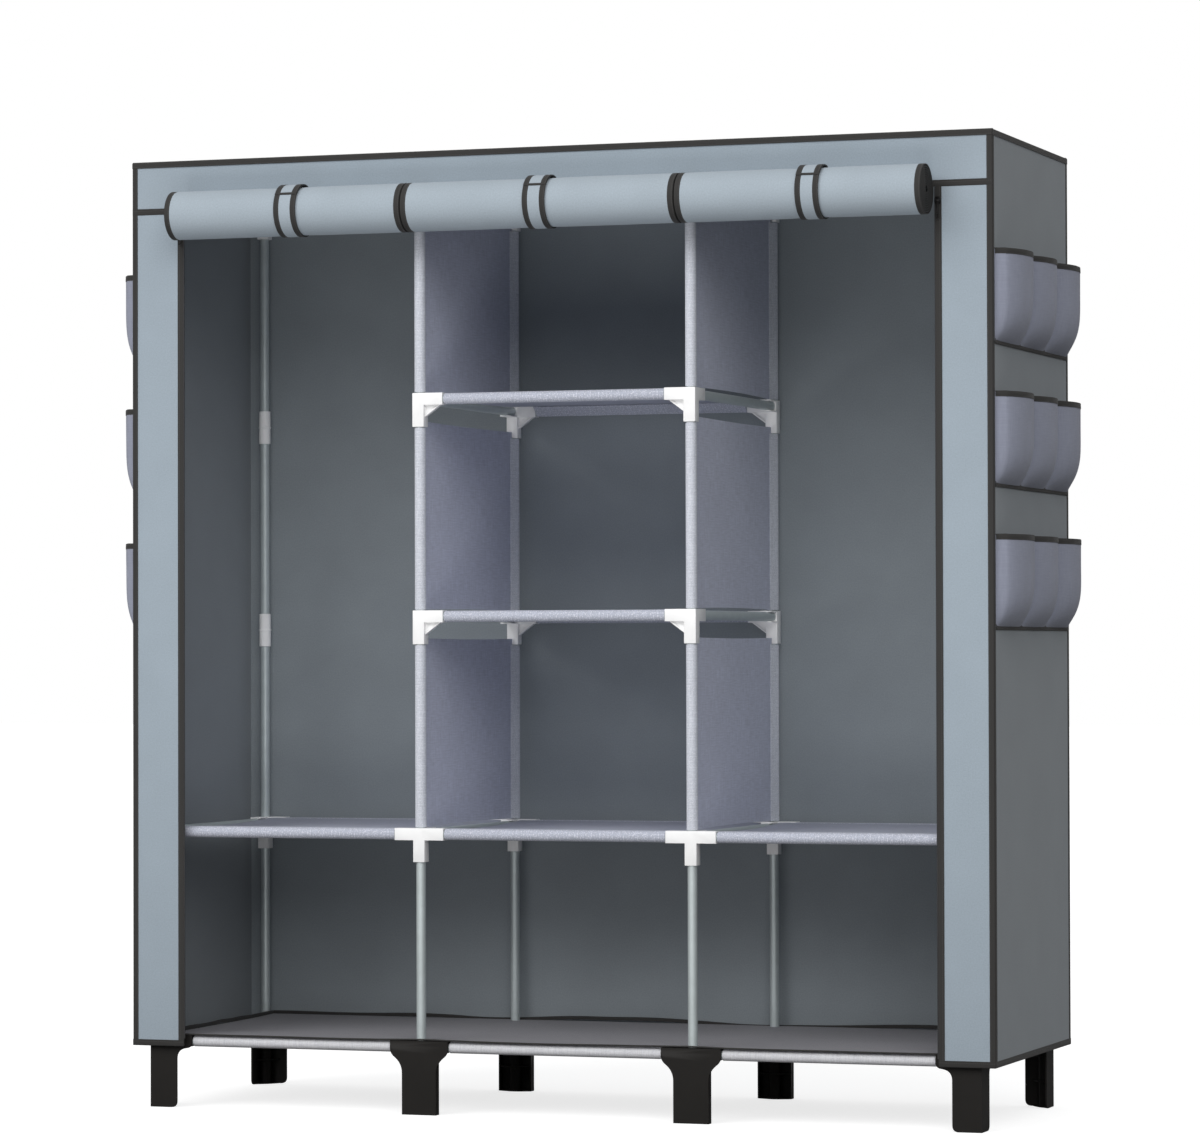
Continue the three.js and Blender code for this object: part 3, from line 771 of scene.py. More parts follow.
class Recipe:
    """Builds the nodes of one material."""

    def __init__(self, name: str) -> None:
        """Start an empty material of that name."""
        self.material = bpy.data.materials.new(name)
        self.material.use_nodes = True
        self.tree = self.material.node_tree
        self.tree.nodes.clear()

    def node(
        self,
        kind: str,
        settings: dict[str, Any] | None = None,
        sockets: dict[Any, Any] | None = None,
    ) -> bpy.types.Node:
        """Add one node.

        Args:
            kind: The node's type.
            settings: Values set on the node.
            sockets: Values or wires of its inputs, by name or number.

        Returns:
            The node.
        """
        made = self.tree.nodes.new(kind)
        for key, value in (settings or {}).items():
            setattr(made, key, value)
        for key, value in (sockets or {}).items():
            if isinstance(value, Wire):
                self.tree.links.new(value.socket, made.inputs[key])
            else:
                made.inputs[key].default_value = value
        return made

    def wire(
        self,
        kind: str,
        settings: dict[str, Any] | None = None,
        sockets: dict[Any, Any] | None = None,
        output: int | str = 0,
    ) -> Wire:
        """Add one node and take one of its outputs."""
        return Wire(self, self.node(kind, settings, sockets).outputs[output])

    def axes(self, where: Wire) -> tuple[Wire, Wire]:
        """The first two coordinates as single values."""
        split = self.node("ShaderNodeSeparateXYZ", {}, {0: where})
        return Wire(self, split.outputs[0]), Wire(self, split.outputs[1])

    def blend(self, share: Wire | float, first: Any, second: Any) -> Wire:
        """Mix two colours by a share."""
        settings = {"data_type": "RGBA"}
        return self.wire("ShaderNodeMix", settings, {0: share, 6: first, 7: second}, 2)

    def grain(
        self, where: Wire, size: float, detail: float = 2.0, stretch: Colour = (1.0, 1.0, 1.0)
    ) -> Wire:
        """Noise of about a size in metres, from 0 to 1.

        Args:
            where: Coordinates in metres.
            size: Size of its blobs.
            detail: How many finer layers it has.
            stretch: Factors on the coordinates; under 1 draws the blobs out.

        Returns:
            The noise.
        """
        product = {"operation": "MULTIPLY"}
        scaled = self.wire("ShaderNodeVectorMath", product, {0: where, 1: stretch})
        values = {"Vector": scaled, "Scale": 1 / size, "Detail": detail, "Roughness": 0.55}
        return self.wire("ShaderNodeTexNoise", {}, values)

    def surface(self, sockets: dict[str, Any], height: Wire, relief: float) -> Material:
        """Close the material with its shader.

        Args:
            sockets: Values or wires of the shader.
            height: Height of the relief, from 0 to 1.
            relief: Depth of the relief in metres.

        Returns:
            The material.
        """
        bump = {"Strength": 1.0, "Distance": relief, "Height": height}
        normal = self.wire("ShaderNodeBump", {}, bump)
        shader = self.wire("ShaderNodeBsdfPrincipled", {}, {**sockets, "Normal": normal})
        self.node("ShaderNodeOutputMaterial", {}, {"Surface": shader})
        return self.material


@dataclass(frozen=True)
class ClothFinish:
    """Synthetic cloth: its tone, its fibres or threads, and its relief."""

    name: str
    colour: Colour
    weave: Weave
    mottle: float = 0.05
    fibre: float = 0.07
    fleck: float = 0.0
    fleck_colour: Colour = (230, 230, 238)
    relief: float = 0.00012
    roughness: float = 0.88
    sheen: float = 0.12
    cloud_size: float = 0.11
    fibre_size: float = 0.0024
    fibre_stretch: float = 0.09
    knot_size: float = 0.0012
    dot_size: float = 0.0022
    fleck_limit: float = 0.57

    def threads(self, recipe: Recipe, where: Wire) -> tuple[Wire, Wire]:
        """The fibres and the relief of a plain weave."""
        warp = recipe.grain(where, self.fibre_size, 2.0, (1.0, self.fibre_stretch, 1.0))
        weft = recipe.grain(where, self.fibre_size, 2.0, (self.fibre_stretch, 1.0, 1.0))
        fibres = (warp + weft) * 0.5
        across, along = recipe.axes(where)
        turn = 2 * math.pi / self.knot_size
        knots = (across * turn).wave() * (along * turn).wave()
        return fibres, fibres * 0.7 + knots * 0.3

    def bonding(self, recipe: Recipe, where: Wire) -> tuple[Wire, Wire]:
        """The fibres and the relief of bonded cloth."""
        fibres = recipe.grain(where, self.fibre_size, 3.0)
        cells = {"Vector": where, "Scale": 1 / self.dot_size, "Randomness": 0.12}
        dots = recipe.wire("ShaderNodeTexVoronoi", {"feature": "F1"}, cells)
        return fibres, fibres * 0.45 + dots * 0.55

    def material(self) -> Material:
        """Build the material."""
        recipe = Recipe(self.name)
        where = recipe.wire("ShaderNodeTexCoord", output="UV")
        cloud = recipe.grain(where, self.cloud_size, 3.0)
        make = self.threads if self.weave is Weave.PLAIN else self.bonding
        fibres, height = make(recipe, where)
        tone = cloud * self.mottle * 2 + fibres * self.fibre * 2
        share = tone / (2 * (self.mottle + self.fibre))
        swing = (self.mottle + self.fibre) * 1.6
        dark, light = toned(self.colour, 1 - swing), toned(self.colour, 1 + swing)
        base = recipe.blend(share, linear(dark), linear(light))
        if self.fleck:
            spots = recipe.grain(where, self.fibre_size, 2.0).above(self.fleck_limit)
            base = recipe.blend(spots * self.fleck, base, linear(self.fleck_colour))
        sockets = {
            "Base Color": base,
            "Roughness": fibres * 0.1 + (self.roughness - 0.05),
            "Specular IOR Level": 0.3,
            "Sheen Weight": self.sheen,
            "Sheen Roughness": 0.5,
        }
        return recipe.surface(sockets, height, self.relief)


@dataclass(frozen=True)
class BindingFinish:
    """Charcoal ribbed binding tape with a line of stitches along each edge."""

    name: str = "charcoal_binding"
    colour: Colour = (52, 51, 50)
    thread: Colour = (74, 73, 72)
    rib: float = 0.0009
    fuzz_size: float = 0.0012
    stitch_line: float = 0.0074
    stitch: float = 0.0034
    stitch_share: float = 0.72
    thread_half: float = 0.00035
    groove_half: float = 0.0009
    relief: float = 0.0002

    def material(self) -> Material:
        """Build the material."""
        recipe = Recipe(self.name)
        where = recipe.wire("ShaderNodeTexCoord", output="UV")
        across, along = recipe.axes(where)
        ribs = (along * (2 * math.pi / self.rib)).wave() * 0.5 + 0.5
        fuzz = recipe.grain(where, self.fuzz_size, 3.0)
        off_line = (across.size() - self.stitch_line).size()
        dashes = along.part(self.stitch).below(self.stitch_share)
        stitches = off_line.below(self.thread_half) * dashes
        groove = off_line.below(self.groove_half)
        dark, light = toned(self.colour, 0.86), toned(self.colour, 1.14)
        tape = recipe.blend(fuzz, linear(dark), linear(light))
        sockets = {
            "Base Color": recipe.blend(stitches, tape, linear(self.thread)),
            "Roughness": fuzz * 0.12 + 0.72,
            "Specular IOR Level": 0.3,
            "Sheen Weight": 0.1,
            "Sheen Roughness": 0.4,
        }
        height = ribs * 0.25 + fuzz * 0.35 - groove * 0.4 + stitches * 0.8
        return recipe.surface(sockets, height, self.relief)


@dataclass(frozen=True)
class PlasticFinish:
    """Moulded plastic with a fine grain."""

    name: str
    colour: Colour
    roughness: float
    grain: float = 0.0007
    relief: float = 0.00003
    variation: float = 0.03
    gloss: float = 0.45
    broad_size: float = 0.03

    def material(self) -> Material:
        """Build the material."""
        recipe = Recipe(self.name)
        where = recipe.wire("ShaderNodeTexCoord", output="Object")
        fine = recipe.grain(where, self.grain, 2.0)
        broad = recipe.grain(where, self.broad_size, 2.0)
        dark, light = toned(self.colour, 1 - self.variation), toned(self.colour, 1 + self.variation)
        sockets = {
            "Base Color": recipe.blend(broad, linear(dark), linear(light)),
            "Roughness": broad * 0.12 + fine * 0.06 + (self.roughness - 0.09),
            "Specular IOR Level": self.gloss,
        }
        return recipe.surface(sockets, fine, self.relief)


@dataclass(frozen=True)
class MetalFinish:
    """Coated steel tube or the dark metal of the zips."""

    name: str
    colour: Colour
    metallic: float
    roughness: float
    grain: float = 0.0009
    broad_size: float = 0.02
    variation: float = 0.05
    relief: float = 0.00001

    def material(self) -> Material:
        """Build the material."""
        recipe = Recipe(self.name)
        where = recipe.wire("ShaderNodeTexCoord", output="Object")
        fine = recipe.grain(where, self.grain, 2.0)
        broad = recipe.grain(where, self.broad_size, 3.0)
        dark, light = toned(self.colour, 1 - self.variation), toned(self.colour, 1 + self.variation)
        sockets = {
            "Base Color": recipe.blend(broad, linear(dark), linear(light)),
            "Roughness": broad * 0.1 + fine * 0.05 + (self.roughness - 0.07),
            "Metallic": self.metallic,
        }
        return recipe.surface(sockets, fine, self.relief)


@dataclass(frozen=True)
class ZipFinish:
    """A coil zip: close ribs across the chain, with painted shade in the grooves between them."""

    name: str = "zip_coil"
    colour: Colour = (70, 70, 72)
    # Colour between the ribs: painted shade in the coil's grooves.
    groove: Colour = (38, 37, 37)
    tooth: float = 0.0016
    relief: float = 0.0004

    def material(self) -> Material:
        """Build the material."""
        recipe = Recipe(self.name)
        _, along = recipe.axes(recipe.wire("ShaderNodeTexCoord", output="UV"))
        ribs = (along * (2 * math.pi / self.tooth)).wave() * 0.5 + 0.5
        # The grooves between the ribs are coloured darker: painted shade that follows the relief.
        base = recipe.blend(ribs, linear(self.groove), linear(self.colour))
        return recipe.surface({"Base Color": base, "Roughness": 1 - ribs * 0.5}, ribs, self.relief)


@dataclass(frozen=True)
class Finishes:
    """Every finish of the wardrobe, built once."""

    steel: Material
    white: Material
    black: Material
    cover: Material
    # Painted shade: the cover cloth made darker for the two side panels.
    side: Material
    # Painted shade: the cover cloth made darker for the inner faces of the cover.
    lining: Material
    roll: Material
    shelf: Material
    panel: Material
    base: Material
    sleeve: Material
    rod_sleeve: Material
    # Painted light: the sleeve cloth made lighter for the base sleeves.
    base_sleeve: Material
    pocket: Material
    binding: Material
    # Painted shade: a near-black inner face for the roll's bound ends.
    tape_inside: Material
    metal: Material
    coil: Material

    @classmethod
    def build(cls) -> "Finishes":
        """Build the materials."""
        bonded, plain = Weave.BONDED, Weave.PLAIN

        def sleeve(name: str, colour: Colour) -> ClothFinish:
            """A plain weave with light flecks."""
            return ClothFinish(name, colour, plain, 0.02, 0.13, 0.6)

        finishes = {
            "steel": MetalFinish("coated_steel", (196, 205, 206), 0.35, 0.36),
            "white": PlasticFinish("white_moulding", (250, 250, 250), 0.42),
            "black": PlasticFinish("black_moulding", (33, 31, 29), 0.55, variation=0.08, gloss=0.2),
            "cover": ClothFinish("cover_cloth", (155, 167, 177), bonded, 0.02, 0.05),
            # A darker copy of the cover cloth for the two side panels, on both faces: painted shade
            # for the sides turned away from the key light.
            "side": ClothFinish("side_cloth", (136, 142, 147), bonded, 0.02, 0.05),
            # A darker copy of the cover cloth for its inner faces: painted shade for the inside of
            # the wardrobe, though the cloth is the same on both faces.
            "lining": ClothFinish("cover_inside", (142, 149, 154), bonded, 0.03, 0.05),
            "roll": ClothFinish("roll_cloth", (162, 173, 182), bonded, 0.02, 0.05),
            "shelf": ClothFinish("shelf_cloth", (160, 164, 180), plain, 0.02, 0.11),
            "panel": ClothFinish("partition_cloth", (185, 189, 210), plain, 0.02, 0.13),
            "base": ClothFinish("base_cloth", (125, 124, 130), plain, 0.02, 0.08),
            "sleeve": sleeve("sleeve_cloth", (194, 198, 212)),
            "rod_sleeve": sleeve("rod_sleeve_cloth", (172, 176, 189)),
            # A lighter copy of the sleeve cloth for the base sleeves: painted light against the
            # shade under the base sheet's edge.
            "base_sleeve": sleeve("base_sleeve_cloth", (224, 225, 238)),
            "pocket": ClothFinish("pocket_cloth", (145, 149, 165), plain, 0.03, 0.06),
            "binding": BindingFinish(),
            # A near-black cloth for the inner face of the roll's bound ends: painted shade between
            # the turns, though the tape is the same charcoal on both faces.
            "tape_inside": ClothFinish("tape_inside", (13, 13, 13), plain, sheen=0.0),
            "metal": MetalFinish("dark_metal", (44, 43, 43), 0.7, 0.36),
            "coil": ZipFinish(),
        }
        return cls(**{name: finish.material() for name, finish in finishes.items()})


# ---------------------------------------------------------------- frame


@dataclass
class SideFrame:
    """Two posts with the depth rods between them, and the couplers of an outer frame."""

    post: Post
    finishes: Finishes
    foot_socket: float = 0.084
    base_axis: float = 0.1115
    coupler_radius: float = 0.0108
    coupler_length: float = 0.058
    stop_half: float = 0.0022
    stop_rise: float = 0.0007
    cap: float = 0.0008

    def levels(self) -> list[float]:
        """Heights of the depth rods."""
        inner = [] if self.post.is_outer else [Level.MIDDLE.axis, Level.UPPER.axis]
        return [self.base_axis, Level.LOWER.axis, *inner, Level.TOP.axis]

    def build(self) -> None:
        """Model the tubes and the couplers."""
        x = self.post.value
        name = self.post.label
        tubes = []
        for row in Row:
            low = Vector((x, row.value, self.foot_socket))
            high = Vector((x, row.value, Level.TOP.value - self.cap))
            tubes.append(tube(f"post_{row.label}_{name}", low, high))
        for i, z in enumerate(self.levels()):
            start = Vector((x, Row.FRONT.value + TUBING.radius, z))
            end = Vector((x, Row.BACK.value - TUBING.radius, z))
            tubes.append(tube(f"depth_rod_{name}_{i}", start, end))
        whole = joined(tubes, f"side_frame_{name}_tubes")
        placed(dressed(whole, self.finishes.steel), [f"side_frame_{name}"])
        if self.post.is_outer:
            self.couplers()

    def couplers(self) -> None:
        """Model the sleeves that join the post lengths where no shelf is."""
        first = self.coupler(Vector((self.post.value, Row.FRONT.value, Level.MIDDLE.value)))
        parts = [first]
        for row in Row:
            for level in (Level.MIDDLE, Level.UPPER):
                shift = Vector((0.0, row.value - Row.FRONT.value, level.value - Level.MIDDLE.value))
                if shift.length:
                    parts.append(copied(first, "coupler", Matrix.Translation(shift)))
        whole = joined(parts, f"couplers_{self.post.label}")
        placed(dressed(whole, self.finishes.white))

    def coupler(self, top: Vector) -> Piece:
        """One coupler under its top: a sleeve with a stop ring at its middle."""
        radius = self.coupler_radius - self.stop_rise
        wall = radius - TUBING.radius
        sleeve = tube("coupler", top - Z * self.coupler_length, top, radius, wall)
        middle = top - Z * (self.coupler_length / 2)
        low, high = middle - Z * self.stop_half, middle + Z * self.stop_half
        stop = tube("coupler_stop", low, high, self.coupler_radius, wall + self.stop_rise)
        bevelled(sleeve, 0.0008, 2, 50.0)
        return smoothed(joined([sleeve, stop], "coupler"))


@dataclass(frozen=True)
class ConnectorKind:
    """What sets one connector apart from another."""

    ways: tuple[int, ...]
    height: float
    braced: bool


@dataclass
class Connectors:
    """Moulded connectors, each kind modelled once and copied to its places."""

    half: float = 0.010
    reach: float = 0.043
    slot_start: float = 0.0115
    slot_wall: float = 0.004
    slot_lip: float = 0.002
    gusset_width: float = 0.027
    gusset_drop: float = 0.021
    gusset_web: float = 0.0024
    gusset_flange: float = 0.009
    gusset_rim: float = 0.0024
    gusset_rise: float = 0.0030
    gusset_root: float = 0.0015
    socket_start: float = 0.02
    socket_end: float = 0.06
    edge: float = 0.0011

    def __post_init__(self) -> None:
        """Start with no kind modelled."""
        self.made: dict[ConnectorKind, Piece] = {}

    def gusset(self, way: int) -> list[Piece]:
        """The web and the curved flange under an arm."""
        inner = way * (self.half - self.gusset_root)
        outer = way * (self.half + self.gusset_width)
        arm = -2 * self.half
        low, high = arm - self.gusset_drop, arm + self.gusset_root
        slope = Vector((outer - inner, arm - low)).normalized()
        inward = Vector((-slope.y * way, slope.x * way)) * self.gusset_rim
        web = [(inner, high), (inner, low), (outer, arm), (outer, high)]
        flange = [(inner, low), (outer, arm)]
        flange += [(outer + inward.x, arm + inward.y), (inner, low + self.gusset_rise)]
        return [
            plate(name, [Vector((u, -thickness / 2, v)) for u, v in outline], Y * thickness)
            for name, outline, thickness in (
                ("web", web, self.gusset_web),
                ("flange", flange, self.gusset_flange),
            )
        ]

    def socket(self, name: str, way: Vector) -> Piece:
        """The bore that takes a rod from one way."""
        start, end = way * self.socket_start, way * self.socket_end
        return bar(name, start - Z * self.half, end - Z * self.half, TUBING.bore)

    def model(self, kind: ConnectorKind) -> Piece:
        """Model one kind with its top on the origin, as it stands in the front row.

        Args:
            kind: The kind of connector.

        Returns:
            The connector.
        """
        half, low = self.half, -2 * self.half
        parts = [
            block("sleeve", (-half, -half, -kind.height), (half, half, 0)),
            block("depth_socket", (-half, 0, low), (half, self.reach, 0)),
        ]
        slot = (-self.socket_start, self.socket_end, -self.slot_lip)
        cuts = [block("slot", (-self.slot_wall, self.slot_start, low + self.slot_lip), slot)]
        for way in kind.ways:
            parts.append(block("arm", (0, -half, low), (way * self.reach, half, 0)))
            cuts.append(self.socket("bore", X * way))
            if kind.braced:
                parts += self.gusset(way)
        cuts.append(self.socket("depth_bore", Y))
        foot = Vector((0, 0, -kind.height))
        cuts.append(bar("post_bore", foot - Z * OVERRUN, foot + Z * self.socket_start, TUBING.bore))
        return moulded("connector_kind", parts, cuts, self.edge)

    def place(self, post: Post, row: Row, level: Level, ways: tuple[int, ...]) -> Piece:
        """Copy a connector to its place.

        Args:
            post: The post it stands on.
            row: The front or the back row.
            level: Its level.
            ways: The directions of its side arms along X.

        Returns:
            The connector in its place.
        """
        turned = row is Row.BACK
        own = tuple(sorted(-way for way in ways)) if turned else tuple(sorted(ways))
        kind = ConnectorKind(own, level.connector_height, level.is_narrow)
        if kind not in self.made:
            self.made[kind] = self.model(kind)
        turn = Matrix.Rotation(math.pi if turned else 0.0, 4, "Z")
        matrix = Matrix.Translation((post.value, row.value, level.value)) @ turn
        return copied(self.made[kind], f"connector_{level.label}_{row.label}_{post.label}", matrix)

    def clear(self) -> None:
        """Remove the models that were copied."""
        for model in self.made.values():
            bpy.data.objects.remove(model)
        self.made.clear()


@dataclass
class Rail:
    """The connectors of one level and row, and the cross rods between them."""

    level: Level
    row: Row
    connectors: Connectors
    finishes: Finishes

    def build(self) -> None:
        """Model the rods and place the connectors."""
        posts = [Post.LEFT_INNER, Post.RIGHT_INNER] if self.level.is_narrow else list(Post)
        name = f"{self.level.label}_{self.row.label}"
        mouldings = []
        for i, post in enumerate(posts):
            ways = tuple(way for way in (-1, 1) if 0 <= i + way < len(posts))
            mouldings.append(self.connectors.place(post, self.row, self.level, ways))
        whole = joined(mouldings, f"connectors_{name}")
        placed(dressed(whole, self.finishes.white), [f"rail_{name}"])
        rods = []
        for start, end in zip(posts, posts[1:]):
            low, high = start.value + TUBING.rod_inset, end.value - TUBING.rod_inset
            line = rod_line(low, high, self.row, self.level.axis)
            rods.append(tube(f"rod_{name}", *line))
        placed(dressed(joined(rods, f"cross_rods_{name}"), self.finishes.steel))


@dataclass
class Feet:
    """Moulded feet and the base rods that they carry."""

    finishes: Finishes
    height: float = 0.122
    face: float = 0.0125
    wall: float = 0.003
    arm: float = 0.021
    arm_reach: float = 0.048
    leg: float = 0.030
    shoulder: float = 0.051
    flare: float = 0.017
    corner_flare: float = 0.004
    arm_round: float = 0.011
    post_end: float = 0.084
    inner_reach: float = 0.016
    web: float = 0.0022
    lip: float = 0.0025
    corner_leg: float = 0.036
    corner_shoulder: float = 0.063
    corner_radius: float = 0.011
    column: float = 0.010
    small_round: float = 0.0012
    leg_curve: float = 0.57
    shoulder_curve: float = 0.32
    bevel: float = 0.0008

    @property
    def arm_low(self) -> float:
        """Height of the underside of the arms."""
        return self.height - self.arm

    def edge(
        self, way: float, leg: float, shoulder: float, radius: float, flare: float = 0.0
    ) -> list[tuple[float, float, float]]:
        """One edge of a foot's face, from the floor up to its top.

        Args:
            way: 1 or -1, the side on which the edge lies.
            leg: How far out the leg reaches.
            shoulder: How far out the arm reaches.
            radius: Rounding at the floor.
            flare: Height over which the leg widens into the arm.

        Returns:
            The edge's corners, as u, v and rounding.
        """
        if leg == shoulder:
            return [(way * leg, 0.0, radius), (way * leg, self.height, 0.0)]
        run = math.hypot(shoulder - leg, flare)
        return [
            (way * leg, 0.0, radius),
            (way * leg, self.arm_low - flare, run * self.leg_curve),
            (way * shoulder, self.arm_low, run * self.shoulder_curve),
            (way * shoulder, self.height, 0.0),
        ]

    def arm_block(self, start: float, end: float) -> Piece:
        """The arm behind a foot's face between two places along X, rounded at its free ends."""
        first = self.arm_round if start < -self.face else 0.0
        ends = [(start, self.arm_low, first), (end, self.arm_low, self.arm_round)]
        outline = rounded(ends + [(end, self.height, 0.0), (start, self.height, 0.0)])
        points = [Vector((u, -self.face, v)) for u, v in outline]
        return plate("arm", points, Y * (self.face + self.column))

    def plain(self) -> Piece:
        """A foot of the inner posts at the origin, its face towards -Y."""
        outer, half, leg = -self.face, self.column, self.leg
        edge = self.edge(1.0, leg, self.shoulder, self.small_round, self.flare)
        face = [Vector((u, outer, v)) for u, v in rounded(mirrored(edge))]
        bow = [(-leg, outer, 0.0), (leg, outer, 0.0), (leg, self.wall, 0.0)]
        bow += [(0.0, self.inner_reach, leg / 2), (-leg, self.wall, 0.0)]
        inside = rounded(bow)
        high = self.arm_low - self.flare
        parts = [
            plate("face", face, Y * self.wall),
            self.arm_block(-self.shoulder, self.shoulder),
            block("depth_arm", (-half, outer, self.arm_low), (half, self.arm_reach, self.height)),
            bar("column", Vector(), Z * self.height, half),
        ]
        for way in (-1, 1):
            low_corner = (way * leg, outer, 0)
            parts.append(block("rib", low_corner, (way * (leg - self.wall), self.wall, high)))
        webs = [(0.0, self.lip), (self.post_end / 2, self.web), (high - self.web, self.web)]
        for z, thickness in webs:
            parts.append(plate("web", [Vector((u, v, z)) for u, v in inside], Z * thickness))
        return self.finished(parts)

    def corner(self) -> Piece:
        """The foot of the front left corner at the origin, its faces towards -X and -Y."""
        outer, half = -self.face, self.column
        closed = self.edge(-1.0, self.face, self.face, self.small_round)[::-1]
        leg, radius, flare = self.corner_leg, self.corner_radius, self.corner_flare
        front, side = (
            rounded(self.edge(1.0, leg, reach, radius, flare) + closed)
            for reach in (self.corner_shoulder, self.arm_reach)
        )
        inset = leg - radius
        floor = rounded(
            [(outer, outer, 0.0), (inset, outer, 0.0), (half, half, half / 2), (outer, inset, 0.0)]
        )
        parts = [
            plate("front_face", [Vector((u, outer, v)) for u, v in front], Y * self.wall),
            plate("side_face", [Vector((outer, u, v)) for u, v in side], X * self.wall),
            self.arm_block(outer, self.corner_shoulder),
            block("depth_arm", (outer, outer, self.arm_low), (half, self.arm_reach, self.height)),
            bar("column", Vector(), Z * self.height, half),
            block("corner", (outer, outer, 0), (0, 0, self.arm_low)),
        ]
        for z in (0.0, self.post_end / 2, self.arm_low - self.flare):
            parts.append(plate("web", [Vector((u, v, z)) for u, v in floor], Z * self.web))
        return self.finished(parts)

    def finished(self, parts: list[Piece]) -> Piece:
        """Unite a foot, bore its post socket and hollow, and soften its edges."""
        cuts = [
            bar("hollow", -Z * OVERRUN, Z * (self.post_end - self.web), TUBING.radius),
            bar("post_room", Z * self.post_end, Z * (self.height + OVERRUN), TUBING.bore),
        ]
        return moulded("foot_kind", parts, cuts, self.bevel)

    def build(self) -> None:
        """Place the eight feet and the six base rods."""
        plain, corner = self.plain(), self.corner()
        rod_z = self.height - self.arm / 2
        for row in Row:
            for post in Post:
                mirror_y = Matrix.Scale(row.inward, 4, Y)
                mirror_x = Matrix.Scale(-1.0 if post is Post.RIGHT_OUTER else 1.0, 4, X)
                matrix = Matrix.Translation((post.value, row.value, 0.0)) @ mirror_y @ mirror_x
                name = f"foot_{row.label}_{post.label}"
                foot = copied(corner if post.is_outer else plain, f"{name}_moulding", matrix)
                placed(dressed(foot, self.finishes.black), [name])
            for bay, (start, end) in BAYS.items():
                low, high = start.value + TUBING.rod_inset, end.value - TUBING.rod_inset
                rod = tube(f"base_rod_{row.label}_{bay}", *rod_line(low, high, row, rod_z))
                placed(dressed(rod, self.finishes.steel))
        bpy.data.objects.remove(plain)
        bpy.data.objects.remove(corner)


@dataclass
class HangingRod:
    """A rod for clothes hangers, with a moulded hook over the top depth rod at each end."""

    bay: str
    finishes: Finishes
    y: float = 0.0424
    z: float = 1.566
    hook_width: float = 0.018
    hook_radius: float = 0.010
    mouth: float = 80.0
    socket_length: float = 0.030
    gap: float = 0.0086
    bevel: float = 0.0004

    def hook(self, x: float, way: float) -> Piece:
        """A snap-on ring with a socket for the rod.

        Args:
            x: Axis of the depth rod that carries it.
            way: 1 where the rod lies towards +X, and -1 towards -X.

        Returns:
            The hook.
        """
        deselect()
        wall = self.hook_radius - TUBING.bore
        axis = Vector((x, self.y, Level.TOP.axis))
        bpy.ops.mesh.primitive_cylinder_add(
            vertices=48,
            radius=TUBING.bore + wall / 2,
            depth=self.hook_width,
            end_fill_type="NOTHING",
            location=axis,
            rotation=(math.pi / 2, 0, 0),
        )
        ring = settled("hook_ring")
        take(ring)
        bpy.ops.object.mode_set(mode="EDIT")
        bpy.ops.mesh.select_all(action="DESELECT")
        bpy.ops.object.mode_set(mode="OBJECT")
        for face in ring.data.polygons:
            offset = face.center - axis
            angle = math.degrees(math.atan2(offset.x, -offset.z))
            face.select = abs(angle) < self.mouth / 2
        bpy.ops.object.mode_set(mode="EDIT")
        bpy.ops.mesh.delete(type="FACE")
        bpy.ops.object.mode_set(mode="OBJECT")
        shaped(ring, "SOLIDIFY", thickness=wall, offset=0.0)
        faced_out(ring)
        start = Vector((x + way * self.gap, self.y, self.z))
        end = start + X * way * self.socket_length
        socket = tube("hook_socket", start, end, self.hook_radius, wall)
        bevelled(ring, self.bevel, 1, 60.0)
        return smoothed(joined([ring, socket], "hook"))

    def build(self) -> None:
        """Model the rod and its hooks."""
        left, right = (post.value for post in BAYS[self.bay])
        hooks = [self.hook(left, 1.0), self.hook(right, -1.0)]
        start = Vector((left + self.gap, self.y, self.z))
        end = Vector((right - self.gap, self.y, self.z))
        rod = tube(f"clothes_rod_{self.bay}", start, end)
        placed(dressed(rod, self.finishes.steel), [f"hanging_rod_{self.bay}"])
        whole = joined(hooks, f"rod_hooks_{self.bay}")
        placed(dressed(whole, self.finishes.white))


# ---------------------------------------------------------------- sewn shelves and partitions


def soft_wave(u: float, v: float, seed: float, scale: float = 3.0) -> float:
    """A smooth wave between about -1 and 1, the same on every run."""
    return noise.noise(Vector((u * scale, v * scale, seed)))


